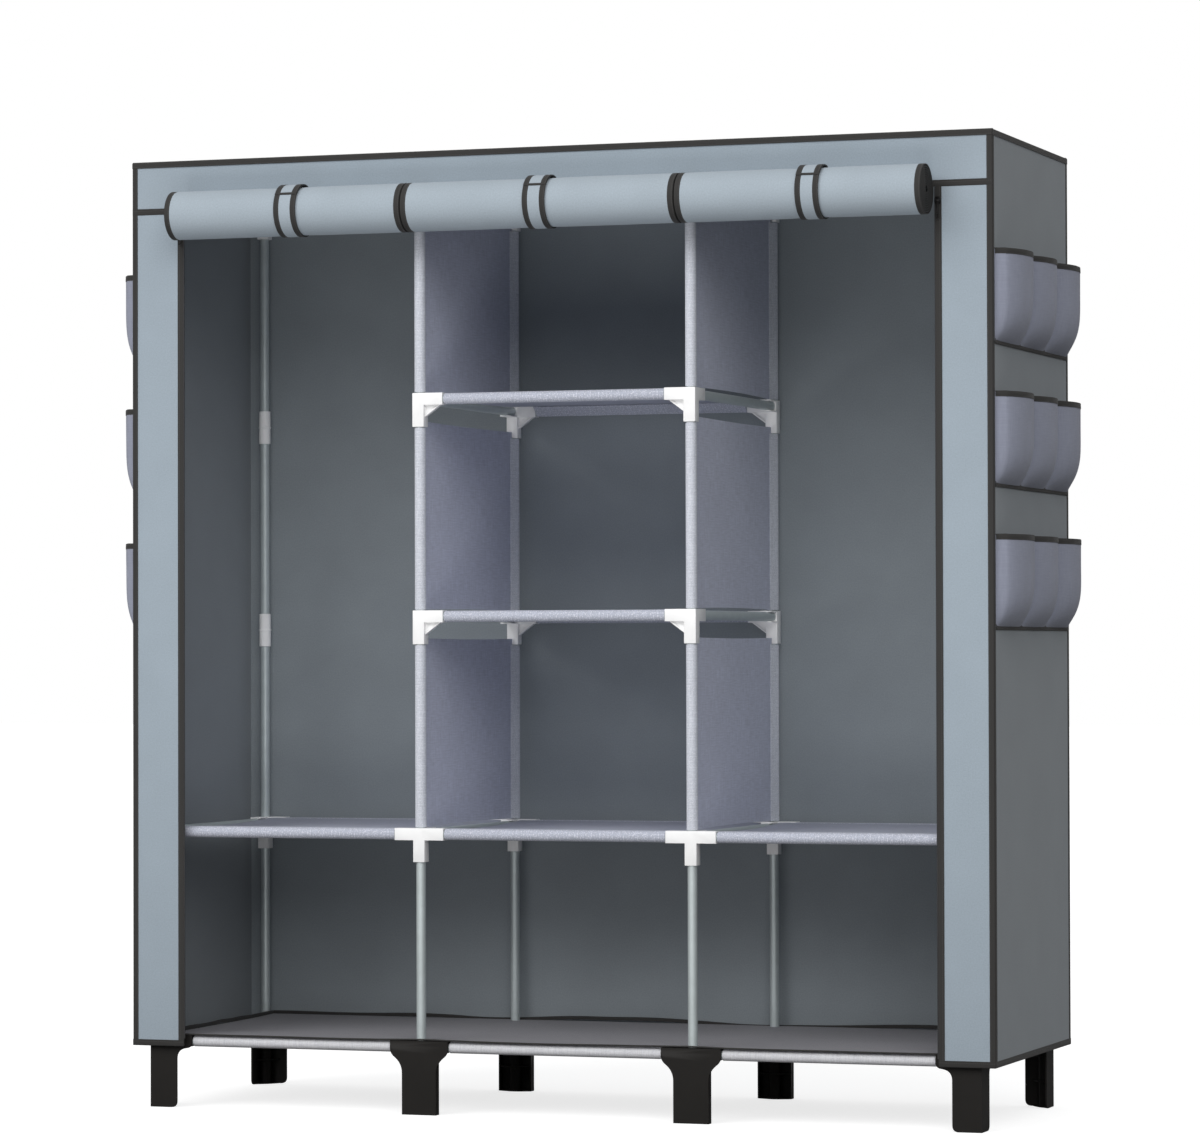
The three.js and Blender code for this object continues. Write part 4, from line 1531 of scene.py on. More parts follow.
@dataclass
class Shelf:
    """A sheet between two posts that sags between sleeves round the front and back rods."""

    level: Level
    bay: str
    finishes: Finishes
    side_gap: float = 0.014
    sleeve_gap: float = 0.0445
    sleeve_radius: float = 0.00885
    sleeve_tail: float = 0.024
    under_drop: float = 0.0022
    over_drop: float = 0.0007
    cloth: float = 0.0009
    sag: float = 0.005
    wave: float = 0.0012

    def build(self) -> None:
        """Model the sheet and its two sleeves."""
        name = f"shelf_{self.level.label}" + ("" if self.level.is_narrow else f"_{self.bay}")
        left, right = (post.value for post in BAYS[self.bay])
        low, high = left + self.side_gap, right - self.side_gap
        front, back = (row.value + row.inward * TUBING.cloth_inset for row in Row)
        depth = Row.BACK.value - Row.FRONT.value
        seed = 7.3 * left + self.level.value

        def place(u: float, v: float) -> Vector:
            """A point of the sheet, with its sag and faint waves."""
            y = front + (back - front) * v
            share = (y - Row.FRONT.value) / depth
            dip = 4 * share * (1 - share) * self.sag
            droop = abs(2 * u - 1) ** 6 * dip * 0.25
            wave = soft_wave(u, v, seed) * self.wave * math.sin(math.pi * v)
            top = self.level.axis + self.sleeve_radius
            return Vector((low + (high - low) * u, y, top - dip + wave - droop))

        size = (high - low, back - front)
        sheet = cloth(f"{name}_sheet", (30, 30), size, place, self.cloth, self.finishes.shelf)
        placed(sheet, [name])
        for row in Row:
            self.sleeve(f"{name}_sleeve_{row.label}", row, left, right)

    def sleeve(self, name: str, row: Row, left: float, right: float) -> None:
        """Model the sleeve round the rod of one row, between two posts."""
        tail, inward = Y * (row.inward * self.sleeve_tail), row.inward
        section = [
            tail + Z * (self.sleeve_radius - self.under_drop),
            *arc(Y, Z, self.sleeve_radius, 28.0 * inward - 90.0, -208.0 * inward, 22),
            tail + Z * (self.sleeve_radius + self.cloth * 0.6 - self.over_drop),
        ]
        start, end = left + self.sleeve_gap, right - self.sleeve_gap
        line = rod_line(start, end, row, self.level.axis)
        sleeve = ribbon(name, section, *line, self.finishes.rod_sleeve, self.cloth)
        placed(sleeve)


@dataclass
class BaseSheet:
    """The bottom sheet over the feet, with a bound edge and sleeves round the base rods."""

    finishes: Finishes
    z: float = 0.1229
    side: float = 0.6997
    front: float = -0.1921
    back: float = 0.2769
    cloth: float = 0.0009
    rod_z: float = 0.1115
    sleeve_radius: float = 0.00885
    outer_gap: float = 0.0645
    inner_gap: float = 0.0525
    tape: float = 0.0045
    tape_cloth: float = 0.0006
    rim: float = 0.0048
    foot_rise: float = 0.001
    foot_width: float = 0.055
    front_swing: float = 0.0012
    side_swing: float = 0.0018
    back_swing: float = 0.0085
    dip: float = 0.0022
    bay_dip: float = 0.0012
    wave: float = 0.001
    seam_drop: float = 0.0004
    seam_half: float = 0.0005

    def rise(self, share: float) -> float:
        """How far the feet lift the front edge at a share along it."""
        x = self.side * (2 * share - 1)
        near = sum(math.exp(-(((x - post.value) / self.foot_width) ** 2)) for post in Post)
        return self.foot_rise * near

    def place(self, u: float, v: float) -> Vector:
        """A point of the sheet, which rests on the feet and rods and dips a little between them."""
        arch = math.sin(math.pi * v)
        dip = arch**0.7 * (self.dip + self.bay_dip * abs(math.sin(3 * math.pi * u)))
        wave = soft_wave(u, v, 4.4) * self.wave * arch
        y = self.front + (self.back - self.front) * v
        z = self.z - dip + wave + self.rise(u) * (1 - v) ** 8
        return Vector((self.side * (2 * u - 1), y, z))

    def build(self) -> None:
        """Model the sheet, its edge tape and its sleeves."""
        size = (2 * self.side, self.back - self.front)
        name, finish = "shelf_base_sheet", self.finishes.base
        sheet = cloth(name, (90, 30), size, self.place, self.cloth, finish)
        placed(sheet, ["shelf_base"])
        self.edges()
        self.sleeves()

    def edges(self) -> None:
        """Model the edge tape, which lies flat in front and stands up at the sides and back."""
        left_front, right_front, right_back, left_back = (
            Vector((x, y, self.z))
            for x, y in (
                (-self.side, self.front),
                (self.side, self.front),
                (self.side, self.back),
                (-self.side, self.back),
            )
        )
        for name, start, end, swing in (
            ("front", left_front, right_front, self.front_swing),
            ("right", right_front, right_back, self.side_swing),
            ("back", right_back, left_back, self.back_swing),
            ("left", left_back, left_front, self.side_swing),
        ):
            flat = name == "front"
            inward = Z.cross(end - start).normalized()
            seed = start.x + 3 * start.y

            def sway(
                v: float, seed: float = seed, flat: bool = flat, swing: float = swing
            ) -> Vector:
                """The edge lifts and dips a little along its length."""
                wave = soft_wave(v, 0.0, seed, 7.0) * math.sin(math.pi * v)
                return Z * (swing * wave + (self.rise(v) if flat else self.rim))

            if flat:
                section = hem_section(Z, inward, self.tape, self.cloth)
            else:
                section = hem_section(inward, -Z, self.rim, self.cloth)
            finish, thickness = self.finishes.binding, self.tape_cloth
            tape = ribbon(f"base_edge_{name}", section, start, end, finish, thickness, 90, sway)
            placed(tape)

    def sleeves(self) -> None:
        """Model the sleeves round the base rods, between the feet."""
        tail, half = Z * (self.z - self.rod_z - self.seam_drop), Y * self.seam_half
        circle = arc(Y, Z, self.sleeve_radius, 98.0, 344.0, 25)
        section = [tail - half, *circle, tail + half]
        for row in Row:
            for bay, (left, right) in BAYS.items():
                start = left.value + (self.outer_gap if left.is_outer else self.inner_gap)
                end = right.value - (self.outer_gap if right.is_outer else self.inner_gap)
                name, line = f"base_sleeve_{row.label}_{bay}", rod_line(start, end, row, self.rod_z)
                # The base sleeves take the lighter copy of the sleeve cloth: painted light against
                # the base sheet's shade.
                sleeve = ribbon(name, section, *line, self.finishes.base_sleeve, self.cloth)
                placed(sleeve)


@dataclass
class Partition:
    """An upright sheet between two levels, with sleeves round the front and back posts."""

    side: Side
    low: Level
    high: Level
    finishes: Finishes
    gap: float = 0.0015
    top_gap: float = 0.028
    sleeve_radius: float = 0.00885
    sleeve_tail: float = 0.021
    cloth: float = 0.0009
    low_bow: float = 0.002
    top_bow: float = 0.0015
    bow: float = 0.0014
    wave: float = 0.0012

    def build(self) -> None:
        """Model the sheet and its sleeves."""
        place_name = ("lower", "middle", "upper")[list(Level).index(self.low)]
        name = f"partition_{self.side.label}_{place_name}"
        x = self.side.value * Post.RIGHT_INNER.value
        bottom = self.low.value + self.gap
        top = self.high.axis - TUBING.radius - self.top_gap
        front, back = (row.value + row.inward * TUBING.cloth_inset for row in Row)
        seed = x * 5 + self.low.value

        def place(u: float, v: float) -> Vector:
            """A point of the sheet, which bows a little and curves between the posts."""
            arch = math.sin(math.pi * u)
            start, end = bottom + self.low_bow * arch, top - self.top_bow * arch
            bow = (self.bow + self.wave * soft_wave(u, v, seed)) * arch
            return Vector((x + bow, front + (back - front) * u, start + (end - start) * v))

        size = (back - front, top - bottom)
        sheet = cloth(f"{name}_sheet", (28, 28), size, place, self.cloth, self.finishes.panel)
        placed(sheet, [name])
        sleeve_top = self.high.value - self.high.connector_height - self.gap
        for row in Row:
            tail, inward = Y * (row.inward * self.sleeve_tail), row.inward
            section = [
                tail + X * (self.cloth * inward),
                *arc(Y, X, self.sleeve_radius, 148.0 - 90.0 * inward, 244.0, 26),
                tail - X * (self.cloth * inward),
            ]
            line = [Vector((x, row.value, z)) for z in (bottom, sleeve_top)]
            finish = self.finishes.sleeve
            sleeve = ribbon(f"{name}_sleeve_{row.label}", section, *line, finish, self.cloth)
            placed(sleeve)


# ---------------------------------------------------------------- cover


@dataclass
class CoverPanel:
    """One flat panel of the cover, between two corners of its outer face."""

    name: str
    origin: Vector
    width: Vector
    length: Vector
    finishes: Finishes
    cells: tuple[int, int] = (24, 60)
    wave: float = 0.0012
    sag: float = 0.0
    outer: str = "cover"

    def build(self) -> None:
        """Model the panel, which moves in from its outer face by faint waves."""
        outward = self.width.cross(self.length).normalized()
        seed = self.origin.x + 2.0 * self.origin.y

        def place(u: float, v: float) -> Vector:
            """A point of the panel."""
            across, along = math.sin(math.pi * u), math.sin(math.pi * v)
            hold = math.sqrt(max(0.0, across * along))
            depth = (0.5 + 0.5 * soft_wave(u, v, seed, 3.5)) * self.wave * hold
            depth += self.sag * abs(math.sin(3 * math.pi * u)) * along
            point = self.origin + self.width * u + self.length * v
            return point - outward * (BOX.cloth / 2 + depth)

        size = (self.width.length, self.length.length)
        outer = getattr(self.finishes, self.outer)
        # The cover's panels take the darker inside cloth on their inner face: painted shade for the
        # wardrobe's inside.
        lining = self.finishes.lining if self.outer == "cover" else outer
        panel = cloth(f"{self.name}_panel", self.cells, size, place, BOX.cloth, outer, lining)
        placed(panel, [self.name])


@dataclass
class Cover:
    """The sewn cover: panels, header, front strips and every binding."""

    finishes: Finishes

    def panels(self) -> None:
        """Model the seven panels."""
        front, back, side, top, low = BOX.front, BOX.back, BOX.side, BOX.top, BOX.bottom
        seam, inner, high = BOX.seam, side - BOX.cloth, top - BOX.cloth
        deep, tall, wide = Y * (back - front), Z * (high - low), X * (2 * inner)
        strip, strip_tall = X * (inner - BOX.strip_edge), Z * (seam - low)
        # The side panels take the darker side cloth on both faces: painted shade.
        upright: dict[str, Any] = {"outer": "side"}
        flat: dict[str, Any] = {"cells": (8, 80), "wave": 0.0006}
        for name, origin, width, length, more in (
            (
                "top",
                (-side, front, top),
                X * (2 * side),
                deep,
                {"cells": (72, 24), "wave": 0.0002, "sag": 0.0022},
            ),
            ("right", (side, front, low), deep, tall, upright),
            ("left", (-side, back, low), -deep, tall, upright),
            ("back", (inner, back, low), -wide, tall, {"cells": (72, 60), "wave": 0.0016}),
            (
                "header",
                (-inner, front, seam),
                wide,
                Z * (high - seam),
                {"cells": (72, 6), "wave": 0.0005},
            ),
            ("strip_right", (BOX.strip_edge, front, low), strip, strip_tall, flat),
            ("strip_left", (-inner, front, low), strip, strip_tall, flat),
        ):
            full = f"cover_{name}"
            CoverPanel(full, Vector(origin), width, length, self.finishes, **more).build()

    def bound(self, name: str, section: list[Vector], start: Vector, end: Vector) -> None:
        """Sew one binding tape along a line."""
        finish = self.finishes.binding
        tape = ribbon(f"binding_{name}", section, start, end, finish, BOX.tape, 60)
        placed(tape)

    def corner(
        self, name: str, ends: tuple[Vector, Vector], first: Vector, second: Vector, layer: int = 0
    ) -> None:
        """Bind an edge where two panels meet.

        Args:
            name: The tape's name.
            ends: The ends of the edge.
            first: Outward normal of one panel.
            second: Outward normal of the other.
            layer: A tape of a higher layer lies over those that it crosses.
        """
        section = corner_section(first, second, BOX.binding, BOX.tape / 2 + layer * BOX.layer)
        self.bound(name, section, *ends)

    def hem(self, name: str, start: Vector, end: Vector, outward: Vector, inward: Vector) -> None:
        """Bind a free edge. Level tapes lie over upright ones.

        Args:
            name: The tape's name.
            start: One end of the edge, on the panel's outer face.
            end: The other end.
            outward: Outward normal of the panel.
            inward: Direction from the edge into the panel.
        """
        middle = -outward * (BOX.cloth / 2)
        lift = BOX.cloth / 2 + BOX.tape / 2 + (BOX.layer if inward == Z else 0.0)
        section = hem_section(outward, inward, BOX.binding, lift)
        self.bound(name, section, start + middle, end + middle)

    def bindings(self) -> None:
        """Bind the box's edges, the header seam, the strips and the bottom hems."""
        front, back, side, top, low = BOX.front, BOX.back, BOX.side, BOX.top, BOX.bottom
        for hand in Side:
            x, edge, outward = hand.value * side, hand.value * BOX.strip_edge, X * hand.value
            floor_front, floor_back = Vector((x, front, low)), Vector((x, back, low))
            top_front, top_back = Vector((x, front, top)), Vector((x, back, top))
            strip_low, strip_high = Vector((edge, front, low)), Vector((edge, front, BOX.seam))
            self.corner(f"front_{hand.label}", (floor_front, top_front), -Y, outward)
            self.corner(f"back_{hand.label}", (floor_back, top_back), Y, outward)
            self.corner(f"top_{hand.label}", (top_front, top_back), Z, outward, 1)
            self.hem(f"hem_{hand.label}", floor_front, floor_back, outward, Z)
            self.hem(f"strip_edge_{hand.label}", strip_low, strip_high, -Y, outward)
            self.hem(f"strip_hem_{hand.label}", strip_low, floor_front, -Y, Z)
        for name, y, facing in (("front", front, -Y), ("back", back, Y)):
            ends = Vector((-side, y, top)), Vector((side, y, top))
            self.corner(f"top_{name}", ends, Z, facing, 2)
        self.hem("hem_back", Vector((-side, back, low)), Vector((side, back, low)), Y, Z)
        start, end = Vector((-side, front, BOX.seam)), Vector((side, front, BOX.seam))
        self.hem("header_seam", start, end, -Y, Z)

    def build(self) -> None:
        """Model the whole cover."""
        self.panels()
        self.bindings()


@dataclass
class PocketRow:
    """Three pockets in a row: one sheet sewn to the side between them and along the bottom."""

    side: Side
    row: str
    top: float
    finishes: Finishes
    height: float = 0.146
    bulge: float = 0.040
    cloth: float = 0.0009
    count: int = 3
    seat: float = 0.0003
    belly: float = 6.5
    fullness: float = 0.42
    crease: float = 0.0011
    crease_room: float = 0.0012
    gather: float = 1.3
    columns: int = 26
    tape_cloth: float = 0.0006
    top_width: float = 0.008
    top_lift: float = 0.0004
    top_columns: tuple[float, ...] = (0.001, 0.0045, 0.0085)
    bottom_width: float = 0.009
    bottom_drop: float = 0.005
    bottom_lift: float = 0.0005
    bottom_crown: float = 0.0003

    @property
    def length(self) -> float:
        """Length of the row between the corner bindings."""
        return BOX.back - BOX.front - 2 * BOX.binding

    def offset(self, u: float, v: float) -> float:
        """How far the cloth stands off the side at a share along the row and up the pocket.

        Args:
            u: Share along the row, from its front end to its back end.
            v: Share up the pocket, from the bottom seam to the open top.

        Returns:
            The distance from the side panel to the middle of the cloth.
        """
        swing = abs(math.sin(math.pi * self.count * u))
        belly = 1 - (1 - v) ** self.belly
        wave = soft_wave(u * 9, v * 0.8, self.side.value + self.top, 3.0)
        crease = self.crease * wave * belly * swing
        full = swing**self.fullness * belly * (self.bulge - self.cloth - self.crease_room)
        return self.seat + self.cloth / 2 + full + crease

    def point(self, u: float, v: float, out: float = 0.0) -> Vector:
        """A point of the row, moved out from the cloth by a distance."""
        front, back = BOX.front + BOX.binding + self.seat, BOX.back - BOX.binding - self.seat
        x = self.side.value * (BOX.side + self.offset(u, v) + out)
        return Vector((x, front + (back - front) * u, self.top - (1 - v) * self.height))

    def build(self) -> None:
        """Model the sheet, its bound top and the tape along its bottom."""
        name = f"pocket_row_{self.side.label}_{self.row}"
        right = self.side is Side.RIGHT

        def place(u: float, v: float) -> Vector:
            """A point of the sheet."""
            return self.point(u if right else 1 - u, v)

        cells = (self.count * self.columns, 30)
        flat = (self.length * self.gather, self.height)
        sheet = cloth(f"{name}_sheet", cells, flat, place, self.cloth, self.finishes.pocket)
        placed(sheet, [name])
        self.top_tape(name)
        self.bottom_tape(name)

    def top_tape(self, name: str) -> None:
        """Bind the open top, following its scallops."""
        width = self.top_width
        lift = self.cloth / 2 + self.top_lift
        near = [(lift, -width), (lift, -width / 2), (lift * 0.7, lift * 0.5)]
        section = near + [(0.0, lift)] + [(-out, up) for out, up in near[::-1]]
        columns = len(section) - 1

        def place(u: float, v: float) -> Vector:
            """A point of the tape."""
            out, up = section[round(u * columns)]
            base = self.point(v, min(1.0, 1 + up / self.height), out)
            return base + Z * max(0.0, up)

        across = [*(-place for place in self.top_columns[::-1]), 0.0, *self.top_columns]
        flat = (across[-1] - across[0], self.length * self.gather)
        tape = cloth(
            f"{name}_top_tape",
            (columns, self.count * self.columns),
            flat,
            place,
            self.tape_cloth,
            self.finishes.binding,
            across=across,
        )
        placed(tape)

    def bottom_tape(self, name: str) -> None:
        """Lay the tape over the bottom seam, from corner binding to corner binding."""
        outward = X * self.side.value
        lift = self.seat + self.cloth + self.bottom_lift
        width = self.bottom_width
        section = [
            outward * out + Z * (width * up)
            for out, up in (
                (lift * 0.35, 1.0),
                (lift, 0.9),
                (lift + self.bottom_crown, 0.45),
                (lift, 0.1),
                (lift * 0.35, 0.0),
            )
        ]
        x = self.side.value * BOX.side
        z = self.top - self.height - self.bottom_drop
        line = [Vector((x, y, z)) for y in (BOX.front + BOX.binding, BOX.back - BOX.binding)]
        finish = self.finishes.binding
        tape = ribbon(f"{name}_bottom_tape", section, *line, finish, self.tape_cloth, 60)
        placed(tape)


# ---------------------------------------------------------------- rolled curtains


@dataclass
class Curtain:
    """One front curtain: the roll, its bound ends, its tie strap and the cloth behind it."""

    bay: str
    start: float
    end: float
    strap: float
    finishes: Finishes
    axis_y: float = -0.2467
    axis_z: float = 1.4958
    radius: float = 0.042
    core: float = 0.005
    turns: int = 10
    winding: float = 1.25
    slack: float = 0.0004
    cloth: float = 0.0013
    edge: float = 0.009
    edge_over: float = 0.0002
    drop: float = 1.345
    header_lap: float = 0.0042
    roll_tape: float = 0.0004
    hanging_tape: float = 0.0005
    strap_tape: float = 0.0008
    roll_lap: float = 0.0008
    flat_share: float = 0.97
    flap_angles: tuple[float, float] = (20.5, 145.0)
    flap_edge: tuple[float, float] = (4.5, 0.6)
    leg_angles: tuple[float, float] = (105.0, 344.5)
    strap_width: float = 0.038
    strap_cloth: float = 0.0011
    strap_edge: float = 0.0088
    strap_over: float = 0.0003
    strap_gap: float = 0.0008
    strap_pull: float = 0.001
    strap_reach: float = 0.03
    squash_y: float = -0.2044
    squash_share: float = 0.05

    @property
    def wound_length(self) -> float:
        """Length of the cloth in the roll."""
        return math.pi * self.turns * (self.radius + self.core)

    @property
    def edges(self) -> tuple[tuple[str, float, float], ...]:
        """The bound edges: the name and the two borders of each."""
        return (
            ("left", self.start - self.edge_over, self.start + self.edge),
            ("right", self.end - self.edge, self.end + self.edge_over),
        )

    def squeeze(self, x: float) -> float:
        """How far the strap draws the roll in at a place along it."""
        return self.strap_pull * math.exp(-(((x - self.strap) / self.strap_reach) ** 2))

    def spiral(self, x: float, share: float) -> Vector:
        """A point of the middle of the rolled cloth.

        Args:
            x: Place along the roll.
            share: Share of the cloth that is wound, from the back of the roll to its core.

        Returns:
            The point.
        """
        full = 2 * math.pi * self.turns
        turned = full * share**self.winding
        outer = self.radius - self.cloth / 2
        radius = outer - (outer - self.core) * turned / full
        slack = self.slack * soft_wave(x * 3, math.cos(turned), self.start, 2.0)
        slack += self.slack * soft_wave(x * 8, math.sin(turned), self.end, 1.0)
        radius -= self.squeeze(x) * radius / outer - min(0.0, slack)
        return self.round_point(x, radius, -turned)

    def round_point(self, x: float, radius: float, angle: float) -> Vector:
        """The point at a place, a distance from the roll's axis and an angle from its back."""
        y, z = self.axis_y + radius * math.cos(angle), self.axis_z + radius * math.sin(angle)
        return Vector((x, y, z))

    def wound(
        self,
        name: str,
        span: tuple[float, float],
        across: int,
        thickness: float,
        finish: Material,
        lining: Material | None = None,
    ) -> Piece:
        """Wind a strip of cloth.

        Args:
            name: The strip's name.
            span: Its two borders along the roll.
            across: Faces across it.
            thickness: Its thickness.
            finish: Finish of its outer face.
            lining: Finish of its inner face, where it differs.

        Returns:
            The strip.
        """
        low, high = span

        def place(u: float, v: float) -> Vector:
            """A point of the strip."""
            return self.spiral(low + (high - low) * u, v)

        cells, size = (across, self.turns * 30), (high - low, self.wound_length)
        return cloth(name, cells, size, place, thickness, finish, lining)

    def build(self) -> None:
        """Model the whole curtain."""
        body = f"curtain_{self.bay}"
        span = (self.start, self.end)
        roll = self.wound(f"{body}_roll", span, 16, self.cloth, self.finishes.roll)
        tape = self.cloth + self.roll_tape
        # The bound ends get a near-black inner face: painted shade between the turns of the roll.
        binding, inside = self.finishes.binding, self.finishes.tape_inside
        for name, low, high in self.edges:
            bound = self.wound(f"{body}_bound_{name}", (low, high), 2, tape, binding, inside)
            placed(bound, body=body)
        size = (self.end - self.start, self.wound_length * self.flat_share)
        placed(roll, [body], body)
        self.tie_strap()
        self.hanging_cloth()

    def band(
        self,
        name: str,
        span: tuple[float, float],
        radius: float,
        angles: tuple[float, float],
        thickness: float,
        finish: Material,
    ) -> Piece:
        """A band round the roll, from its back over its top.

        Args:
            name: The band's name.
            span: Its two borders, seen from the strap's middle.
            radius: Radius of its middle.
            angles: Where it starts and ends, in degrees.
            thickness: Its thickness.
            finish: Its finish.

        Returns:
            The band.
        """
        first, last = (math.radians(angle) for angle in angles)
        low, high = (self.strap + border for border in span)
        reach = radius - self.squeeze(self.strap)

        def place(u: float, v: float) -> Vector:
            """A point of the band."""
            return self.round_point(low + (high - low) * u, reach, first + (last - first) * v)

        cells = (4, max(2, round((last - first) * 18)))
        size = (high - low, radius * (last - first))
        return cloth(name, cells, size, place, thickness, finish)

    def tie_strap(self) -> None:
        """Model the strap round the roll: the leg under the flap, and their dark edges."""
        half = self.strap_width / 2
        out, border = half + self.strap_over, half - self.strap_edge
        leg_radius = self.radius + self.strap_gap + self.strap_cloth / 2
        tape = self.strap_cloth + self.strap_tape
        for layer, radius, angles in (
            ("leg", leg_radius, self.leg_angles),
            ("flap", leg_radius + self.strap_cloth, self.flap_angles),
        ):
            name = f"strap_{self.bay}_{layer}"
            edges = [("near", (-out, -border), angles), ("far", (border, out), angles)]
            if layer == "flap":
                before, over = self.flap_edge
                edges.append(("end", (-half, half), (angles[1] - before, angles[1] + over)))
            bound = [
                self.band(f"{name}_{edge}", span, radius, turn, tape, self.finishes.binding)
                for edge, span, turn in edges
            ]
            band = self.band(
                name, (-half, half), radius, angles, self.strap_cloth, self.finishes.roll
            )
            size = (2 * half, radius * math.radians(angles[1] - angles[0]))
            for piece in (band, *bound):
                stands_for = piece is band and layer == "leg"
                placed(piece, [f"tie_strap_{self.bay}"] if stands_for else [])
                joint, place = f"curtain_{self.bay}_drop", (0, self.squash_y, self.axis_z)
                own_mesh(piece)
                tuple(place)

    def hanging_cloth(self) -> None:
        """Model the cloth from the header to the roll."""
        tape, binding = self.cloth + self.hanging_tape, self.finishes.binding
        bound = [
            self.hanging(f"bound_{name}", low, high, tape, binding)
            for name, low, high in self.edges
        ]
        made = self.hanging("cloth", self.start, self.end, self.cloth, self.finishes.cover)
        size = (self.end - self.start, BOX.seam + self.header_lap - self.axis_z)

    def hanging(
        self, name: str, low: float, high: float, thickness: float, finish: Material
    ) -> Piece:
        """A strip from the header down to the roll, its UV stretched by the curtain's drop towards
        the roll.

        Args:
            name: What the strip is.
            low: Its left edge.
            high: Its right edge.
            thickness: Its thickness.
            finish: Its finish.

        Returns:
            The strip.
        """
        y = self.axis_y + self.radius - self.cloth / 2
        top = BOX.seam + self.header_lap

        def place(u: float, v: float) -> Vector:
            """A point of the strip."""
            return Vector((low + (high - low) * u, y, top + (self.axis_z - top) * v))

        size = (high - low, top - self.axis_z)
        body = f"curtain_{self.bay}"
        made = cloth(f"{body}_hanging_{name}", (4, 48), size, place, thickness, finish)
        begin, until = BOX.seam, self.axis_z + self.roll_lap
        middle = (high - low) / 2 if name != "cloth" else 0.0
        for loop in made.data.uv_layers.active.data:
            share = min(1.0, max(0.0, (begin - top + loop.uv[1]) / (begin - until)))
            loop.uv[1] += share * share * (3 - 2 * share) * self.drop
            loop.uv[0] -= middle
        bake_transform(made)
        LOG.info("%s: blended between the cover and the roll", made.name)
        return made


# ---------------------------------------------------------------- zips


@dataclass
class Zip:
    """A coil along the inner edge of a front strip, with its slider and pull."""

    side: Side
    finishes: Finishes
    slider_z: float = 1.4798
    slider_height: float = 0.013
    slider_width: float = 0.010
    plate: float = 0.0014
    seat: float = 0.0003
    bar_y: float = -0.2089
    pull_width: float = 0.006
    pull_length: float = 0.030
    pull_thickness: float = 0.0014
    coil_radius: float = 0.0011
    coil_inset: float = 0.0018
    coil_start: float = 0.012
    coil_end: float = 0.002
    jaw: float = 0.0018
    ear: float = 0.0034
    ear_wall: float = 0.0012
    ear_depth: float = 0.0014
    ear_half: float = 0.0025
    pin_radius: float = 0.001
    eye_radius: float = 0.0025
    eye_bore: float = 0.0014
    neck: float = 0.008
    neck_round: float = 0.002
    eye_gap: float = 0.0018
    tab_rise: float = 0.006
    tab_round: float = 0.0024
    slot_half: float = 0.0012
    slot_round: float = 0.0011
    slot_start: float = 0.0035
    slot_end: float = 0.0095
    wide_round: float = 0.003
    tip_round: float = 0.0022
    coil_cloth: float = 0.0003
    slider_bevel: float = 0.0003
    pull_bevel: float = 0.00025

    def build(self) -> None:
        """Model the chain, the slider and the pull."""
        self.chain()
        self.slider()
        self.pull()

    def chain(self) -> None:
        """Model the coil as a round cord sewn along the edge of the strip."""
        way = self.side.value
        x = way * (BOX.strip_edge - self.coil_inset)
        y = BOX.front + BOX.cloth / 2
        section = arc(X * way, Y, self.coil_radius, 0.0, 360.0, 12)
        line = [Vector((x, y, z)) for z in (BOX.bottom + self.coil_start, BOX.seam - self.coil_end)]
        name, finish = f"zip_coil_{self.side.label}", self.finishes.coil
        coil = ribbon(name, section, *line, finish, self.coil_cloth, 60, is_cloth=False)
        placed(coil)

    def middle(self) -> float:
        """Place of the slider's middle along X."""
        inner = BOX.strip_edge - self.seat - self.plate
        return self.side.value * (inner + self.slider_width / 2)

    def outline(self, edge: Sequence[tuple[float, float, float]]) -> list[tuple[float, float]]:
        """The rounded outline of a part with a given right edge, from its top left corner on."""
        corners = mirrored(edge, self.middle())
        return rounded(corners[-1:] + corners[:-1], 4)

    def slider(self) -> None:
        """Model the slider: two shaped plates, the wall between them and the pin for the pull."""
        x, z = self.middle(), self.slider_z
        half_w, half_h = self.slider_width / 2, self.slider_height / 2
        edge = [
            (half_w, z + half_h, self.wide_round),
            (half_w, z - half_h * 0.3, self.wide_round),
            (half_w * 0.72, z - half_h, self.tip_round),
        ]
        outline = self.outline(edge)
        front = BOX.front - BOX.tape - self.seat
        back = BOX.front + self.jaw
        parts = [
            plate(f"slider_{name}", [Vector((u, y, v)) for u, v in outline], Y * self.plate)
            for name, y in (("front", front - self.plate), ("back", back))
        ]
        inner = self.side.value * (BOX.strip_edge - self.seat)
        wall = self.side.value * self.plate
        low = (inner - wall, front - self.plate / 2, z - half_h * 0.6)
        high = (inner, back + self.plate / 2, z + half_h * 0.8)
        parts.append(block("slider_wall", low, high))
        for way in (-1, 1):
            reach = self.ear + self.ear_wall
            low = (x + way * self.ear, self.bar_y - self.ear_depth, z - self.ear_half)
            high = (x + way * reach, front - self.plate / 2, z + self.ear_half)
            parts.append(block("ear", low, high))
        middle = self.ear + self.ear_wall / 2
        pin = [Vector((x + way * middle, self.bar_y, z)) for way in (-1, 1)]
        parts.append(bar("pin", *pin, self.pin_radius, 16))
        label = self.side.label
        whole = moulded(f"zip_slider_{label}_body", parts, [], self.slider_bevel, 40.0)
        body = f"slider_{label}"
        placed(dressed(whole, self.finishes.metal), [f"zip_slider_{label}"], body)

    def pull(self) -> None:
        """Model the pull: an eye round the pin and a tab with a slot."""
        x, z, y = self.middle(), self.slider_z, self.bar_y
        half = self.pull_width / 2
        low = z - self.pull_length
        edge = [
            (half * 0.8, z - self.eye_gap, 0.0),
            (half * 0.7, z - self.neck, self.neck_round),
            (half, low + self.tab_rise, self.wide_round),
            (half, low, self.tab_round),
        ]
        tab = self.outline(edge)
        heights = (low + self.slot_end, low + self.slot_start)
        slot = self.outline([(self.slot_half, v, self.slot_round) for v in heights])
        thick = self.pull_thickness

